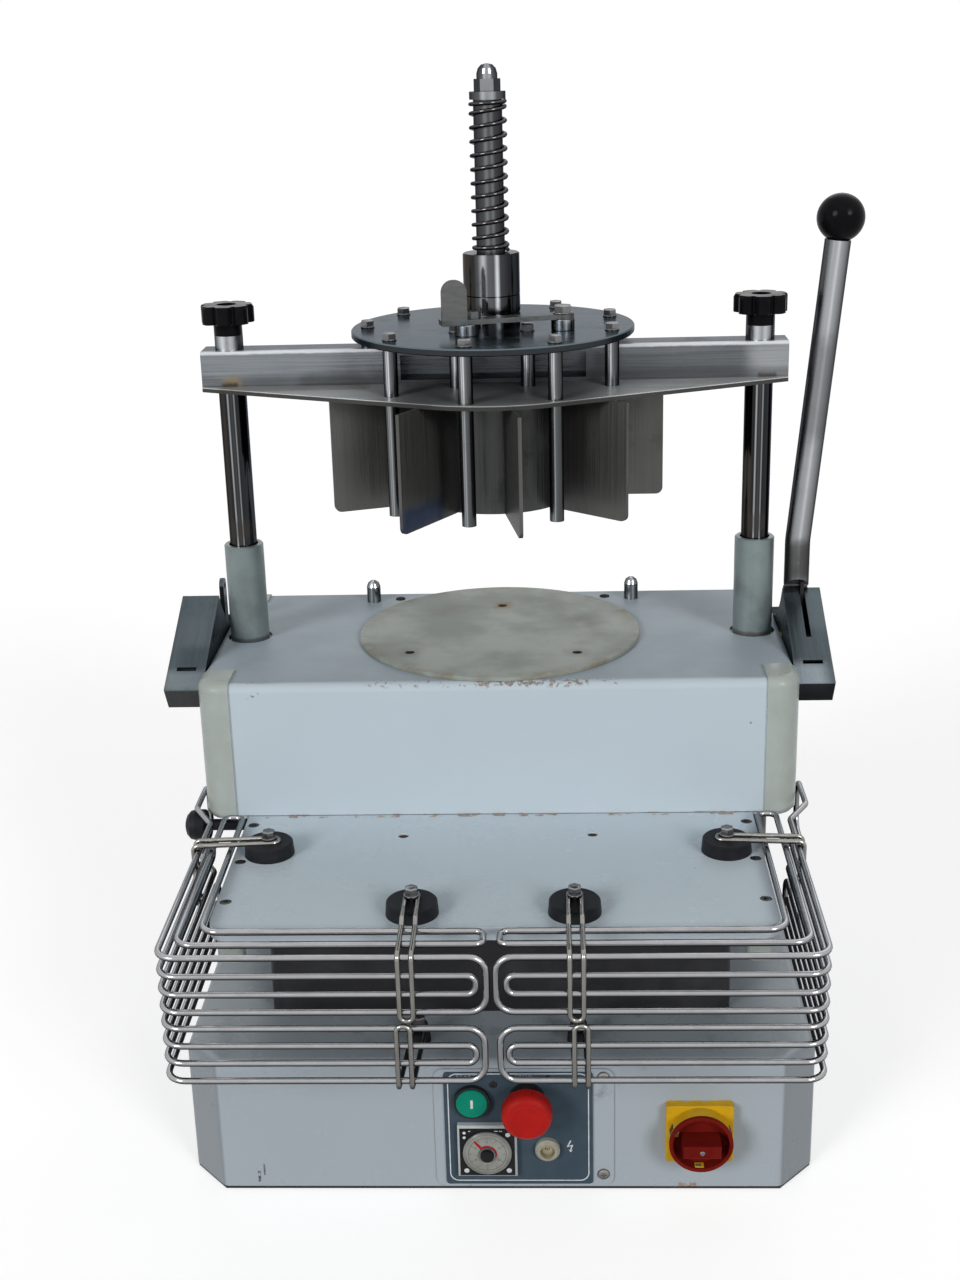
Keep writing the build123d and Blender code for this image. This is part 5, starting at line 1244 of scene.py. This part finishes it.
bpy.ops.mesh.delete(type="FACE")
bpy.ops.mesh.select_all(action="SELECT")
bpy.ops.mesh.extrude_region_move(TRANSFORM_OT_translate={"value": (0, 0, INK * MM)})
bpy.ops.object.mode_set(mode="OBJECT")
border.location = (BORDER_MIDDLE[0] * MM, PANEL * MM, BORDER_MIDDLE[1] * MM)
border.rotation_euler = FACINGS["front"]
seat(rest_at_origin(border, "panel_border"), "base", ink_white)
words = [lettering(name, word, height=LETTER_H, at=(x, PANEL, WORD_Z), spacing=LETTER_SPACING)
         for name, word, x in (("word_start", "START", -26.0), ("word_stop", "STOP", 19.7))]
words = joined("panel_words", words)
seat(words, "base", ink_faded)
bolt_line = [(0.7, 0.0), (-0.5, 0.0), (-3.2, -6.2), (0.5, -5.2), (-0.5, -9.1), (-1.5, -8.4), (-0.2, -11.2),
             (1.7, -8.9), (0.5, -9.3), (2.2, -4.0), (-1.6, -5.0)]
SIGN_AT = (57.2, 48.6)
sign = printed("power_sign", [(SIGN_AT[0] + x, SIGN_AT[1] + z) for x, z in bolt_line], PANEL)
seat(sign, "base", ink_white)
grommet = lathe("panel_grommet", [(3.3, 0), (3.3, 0.4), (2.9, 0.7), (1.7, 0.7), (1.5, 0.2)],
                (-4.4, PANEL, 101.5), facing="front", sides=28)
seat(grommet, "base", collar_black)
panel_pin = lathe("panel_pin", [(1.7, -0.6), (1.7, 0.2), (1.3, 0.35)], (39.4, PANEL, WORD_Z), facing="front",
                  sides=20)
seat(panel_pin, "base", collar_black)

# %% [markdown]
# ## Buttons, lamp and switch
# The green button carries a white stroke, and the stop button has a low ring on its face and fine ribs round
# its edge for the fingers. The main switch is a red dish with a handle across it, on a yellow plate. Its
# small windows, slots and screw are what make it read as a switch. They could be cut into the solids, but a
# small piece set on a face leaves the solids' edges clean and can have its own finish. What is on a knob
# rides on that knob.

# %% Start and stop
mark_start = slab("start_mark", (-22.8, -216.55, 82.9), (-20.8, -216.2, 90.7), soft=0.12)
seat(mark_start, "start", ink_white)
STOP_AT, STOP_FRONT, STOP_BACK, RIB_COUNT = (22.6, 88.7), -241.4, -227.6, 44
face_ring = lathe("stop_face", [(13.1, 0), (12.9, 0.22), (12.4, 0.34), (11.6, 0.30), (10.8, 0.14)],
                  (STOP_AT[0], STOP_FRONT + 0.02, STOP_AT[1]), facing="front", sides=56)
neck = lathe("stop_neck", [(12.6, 0), (13.0, 0.4), (13.0, 5.0), (12.6, 5.3)],
             (STOP_AT[0], PANEL - 12.0, STOP_AT[1]), facing="front")
seat(neck, "estop", collar_black)
rib = slab("stop_rib", (-0.55, -7.2, 19.6), (0.55, 0.0, 20.3), soft=0.2, segments=1)
ribs = set_out("stop_ribs", rib, [(STOP_AT[0], STOP_BACK, STOP_AT[1])] * RIB_COUNT,
               [(0, 2 * math.pi * k / RIB_COUNT, 0) for k in range(RIB_COUNT)])
seat(joined("stop_grip", [face_ring, ribs]), "estop", stop_red)

# %% Lamp lens
LAMP_AT = (38.5, 41.6)
lens_amber = moulded("lens_amber", (0.30, 0.265, 0.17), rough=0.2, worn=(0.19, 0.15, 0.085), grain=400.0,
                     depth=0.1, shine=0.6)
lens = lathe("lamp_lens", [(5.9, 0), (5.9, 0.5), (5.0, 1.1), (3.2, 1.5), (1.2, 1.6)],
             (LAMP_AT[0], PANEL - 2.4, LAMP_AT[1]), facing="front", sides=32)
seat(lens, "base", lens_amber)
# An amber ring round the lens, a painted shade of a deeper recess round it.
recess_ring = ring_line("lamp_recess_ring", outer=7.0, inner=5.9, centre=LAMP_AT, front=PANEL - 6.0)
seat(recess_ring, "base", lens_amber)
bars = [slab("lens_bar", (x, PANEL - 4.3, 42.4), (x + 0.6, PANEL - 3.6, 44.6), soft=0.1,
             segments=1) for x in (36.4, 37.9, 39.4)]
seat(joined("lamp_filament", bars), "base", shade_and_mark_brown)

# %% Main switch
SWITCH_AT, SWITCH_RIM, NOTCH_Y, SLOT_Y = (160.7, 58.8), -231.0, -209.5, -226.4
notch = slab("plate_notch", (-2.7, 0, -0.6), (2.7, 1.6, 0.12), soft=0.1, segments=1)
notch_places = [(SWITCH_AT[0] + aside, NOTCH_Y, SWITCH_AT[1] + 26) for aside in (-11.2, 4.6)]
notches = set_out("switch_notches", notch, notch_places)
seat(notches, "base", nodes["base_casing"].data.materials[0])
# The slots on the collar are dark pieces, a painted shade for openings.
slot = slab("collar_slot", (24.2, 0, -3.2), (25.45, 6.4, 3.2), soft=0.25, segments=1)
slots = set_out("switch_slots", slot, [(SWITCH_AT[0], SLOT_Y, SWITCH_AT[1])] * 2,
                [(0, math.radians(-a), 0) for a in (20, 158)])
seat(slots, "base", shade_and_mark_brown)
dish = SWITCH_RIM + 10
window = slab("dish_window", (-4.6, SWITCH_RIM + 1.5, -22.35), (2.6, SWITCH_RIM + 7.5, -21.5), soft=0.2,
              segments=1)
peep = slab("dish_peep", (-20.4, dish - 0.4, 0.8), (-17.2, dish + 0.3, 5.6), soft=0.2, segments=1)
yellow = set_out("switch_windows", joined("dish_windows", [window, peep]), [(SWITCH_AT[0], 0, SWITCH_AT[1])])
seat(yellow, "switch", switch_yellow)
shutter = slab("window_shutter", (-3.8, SWITCH_RIM + 2.4, -21.9), (0.6, SWITCH_RIM + 5.6, -21.2), soft=0.15,
               segments=1)
bar = slab("peep_bar", (-19.4, dish - 0.7, 2.2), (-17.6, dish - 0.2, 6.4), soft=0.15, segments=1)
grey = set_out("switch_shutters", joined("dish_shutters", [shutter, bar]), [(SWITCH_AT[0], 0, SWITCH_AT[1])])
seat(grey, "switch", moulded("shutter_grey", (0.13, 0.13, 0.11), rough=0.4))
grip_screw = slotted(lathe("grip_screw", [(2.0, 0), (2.0, 0.3), (1.7, 0.6)], sides=20), width=0.6, length=4.4,
                     depth=0.3)
grip_screw = set_out("switch_screw", grip_screw, [(SWITCH_AT[0], SWITCH_RIM - 11, SWITCH_AT[1])],
                     facing="front")
seat(grip_screw, "switch", bolt_steel)

# %% [markdown]
# ## Timer
# A square timer with a black face. Its dial is a clear plastic disc over a white scale, with a red pointer, a
# bright ring and a black centre. All of the dial turns together, so every piece of it rides on the timer's
# body, and they stand in for the plain solid. A disc with a drawn face would do from afar, but thin pieces
# stay sharp close up. The ticks are one bar, copied round the scale.

# %% Timer face
TIMER_AT, CASE_FRONT, DIAL_BACK = (-10.2, 42.0), -216.4, -216.8
FACE_HALF, TICK_COUNT, FIGURE_R = 22.3, 12, 11.0
tx, tz = TIMER_AT
face_black = moulded("timer_black", (0.008, 0.008, 0.010), rough=0.3, worn=(0.012, 0.012, 0.014), shine=0.12)
face = slab("timer_face", (tx - FACE_HALF, CASE_FRONT - 0.25, tz - FACE_HALF),
            (tx + FACE_HALF, CASE_FRONT + 0.3, tz + FACE_HALF), soft=0.12, segments=1)
seat(face, "base", face_black)
spots = [(-17.1, -17.6, 2.1), (17.4, -17.6, 2.1), (16.8, 16.4, 2.0), (-18.4, 18.2, 1.25), (-18.4, 13.8, 1.25)]
dots = [lathe("timer_dot", [(r, 0), (r, 0.12), (r - 0.4, 0.2)], (tx + x, CASE_FRONT - 0.25, tz + z),
              facing="front", sides=24) for x, z, r in spots]
dashes = [slab("timer_dash", (tx + x, CASE_FRONT - 0.36, tz + 19.4),
               (tx + x + w, CASE_FRONT - 0.2, tz + 20.1), soft=0.05, segments=1)
          for x, w in ((6.0, 3.0), (10.0, 2.4), (-15.0, 1.6))]
seat(joined("timer_marks", dots + dashes), "base", ink_white)

# %% Timer dial
dial_white = moulded("dial_white", (0.27, 0.28, 0.26), rough=0.3, worn=(0.22, 0.22, 0.20))
ink_grey = moulded("ink_grey", (0.075, 0.075, 0.07), rough=0.45, worn=(0.12, 0.12, 0.11))
disc_front = DIAL_BACK - 2.45
rim = lathe("dial_rim", [(19.2, 0), (19.7, 0.4), (19.7, 2.0), (19.0, 2.6), (17.6, 2.6), (17.4, 2.2)],
            (tx, DIAL_BACK, tz), facing="front", sides=64)
seat(rim, "timer", dial_clear_grey)
scale_disc = lathe("dial_scale", [(17.3, 0), (17.3, 0.25), (17.1, 0.3)], (tx, DIAL_BACK - 2.15, tz),
                   facing="front", sides=64)
seat(scale_disc, "timer", dial_white)
tick = slab("dial_tick", (-0.22, -0.1, 13.0), (0.22, 0.1, 14.8), soft=0.05, segments=1)
ticks = set_out("dial_ticks", tick, [(tx, disc_front, tz)] * TICK_COUNT,
                [(0, 2 * math.pi * k / TICK_COUNT, 0) for k in range(TICK_COUNT)])
scale_ring = ring_line("dial_ring", outer=15.6, inner=15.2, centre=TIMER_AT, front=disc_front + 0.03)
figures = []
for k in range(6):
    a = math.pi * k / 3
    at = (tx + FIGURE_R * math.sin(a), disc_front + 0.02, tz + FIGURE_R * math.cos(a))
    figures.append(lettering("dial_figure", str(10 * k), height=1.7, at=at))
seat(joined("dial_print", [ticks, scale_ring] + figures), "timer", ink_grey)
arc = [(math.cos(math.radians(a)), math.sin(math.radians(a))) for a in range(-20, 131, 10)]
half_ring = printed("dial_half_ring", [(tx + 7.9 * c, tz + 7.9 * n) for c, n in arc]
                    + [(tx + 6.4 * c, tz + 6.4 * n) for c, n in arc[::-1]], disc_front + 0.02, thick=0.3)
tip, side = Vector((-10.4, 12.0)), Vector((12.0, 10.4)).normalized()
stalk = [tip * 0.3 - side * 1.3, tip * 0.3 + side * 1.3, tip + side * 0.7, tip - side * 0.7]
pointer = printed("dial_pointer", [(tx + v.x, tz + v.y) for v in stalk], disc_front + 0.02, thick=0.4)
seat(joined("dial_hand", [half_ring, pointer]), "timer", stop_red)
hub_ring = lathe("dial_hub_ring", [(6.9, 0), (6.9, 1.8), (6.5, 2.4), (5.7, 2.4)], (tx, disc_front + 0.1, tz),
                 facing="front")
seat(hub_ring, "timer", bolt_steel)
hub = lathe("dial_hub", [(5.6, 0), (5.6, 3.8), (5.1, 4.6), (3.6, 5.0)], (tx, disc_front + 0.1, tz),
            facing="front")
seat(hub, "timer", face_black)
for part in (rim, scale_disc, hub_ring, hub):
    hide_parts("timer_dial")

# %% [markdown]
# ## Studio
# A wide pale floor, two broad lamps low in front on the left and right as in the photograph, and a weak one
# behind so that the back isn't black. Suns with a wide angle act like soft boxes far away and light the floor
# evenly. The floor and the sky are white to the camera and to reflections, but give the object less light, so
# that the pale paint keeps its tone.

# %% Floor
def looked_at(tree):
    """1 for what the camera sees, directly or in a reflection, and 0 for the light that falls on things."""
    ray = add(tree, "LightPath").outputs
    return calc(tree, "ADD", calc(tree, "ADD", ray["Is Camera Ray"], ray["Is Glossy Ray"]),
                ray["Is Transmission Ray"], clamp=True)


nothing_selected()
bpy.ops.mesh.primitive_plane_add(size=60, location=(0, 0, -0.0005))
floor = bpy.context.object
floor.name = "studio_floor"
FLOOR_GREY, FLOOR_GLOW, WHITE_LIGHT = (0.55, 0.55, 0.55, 1), 0.62, (1, 1, 1, 1)
material, tree, shader, _ = start_finish("floor_pale")
fill(tree, shader, Base_Color=FLOOR_GREY, Roughness=0.9, Specular_IOR_Level=0.1, Emission_Color=WHITE_LIGHT,
     Emission_Strength=calc(tree, "MULTIPLY", looked_at(tree), FLOOR_GLOW))
floor.data.materials.append(material)
print("floor:", material.name)

# %% Sky and lamps
SKY_LIGHT, SKY_SEEN = 0.24, 1.0
# Name, azimuth, height, strength and width, with angles in degrees.
LAMPS = [("key_left", -40, 23, 1.60, 20), ("key_right", 36, 24, 1.38, 20), ("back_fill", 170, 40, 0.45, 50)]
world = bpy.context.scene.world or bpy.data.worlds.new("studio")
bpy.context.scene.world = world
world.use_nodes = True
tree = world.node_tree
brightness = spread(tree, looked_at(tree), 0, 1, SKY_LIGHT, SKY_SEEN, smooth=False)
fill(tree, tree.nodes["Background"], Color=WHITE_LIGHT, Strength=brightness)
for name, azimuth, height, strength, width in LAMPS:
    bpy.ops.object.light_add(type="SUN", location=(0, 0, 2))
    lamp = bpy.context.object
    lamp.name = name
    lamp.data.energy, lamp.data.angle = strength, math.radians(width)
    a, h = math.radians(azimuth), math.radians(height)
    source = Vector((math.sin(a) * math.cos(h), -math.cos(a) * math.cos(h), math.sin(h)))
    lamp.rotation_euler = source.to_track_quat("Z", "Y").to_euler()
    print(name, "strength", strength)
bpy.context.scene.view_settings.view_transform = "Standard"
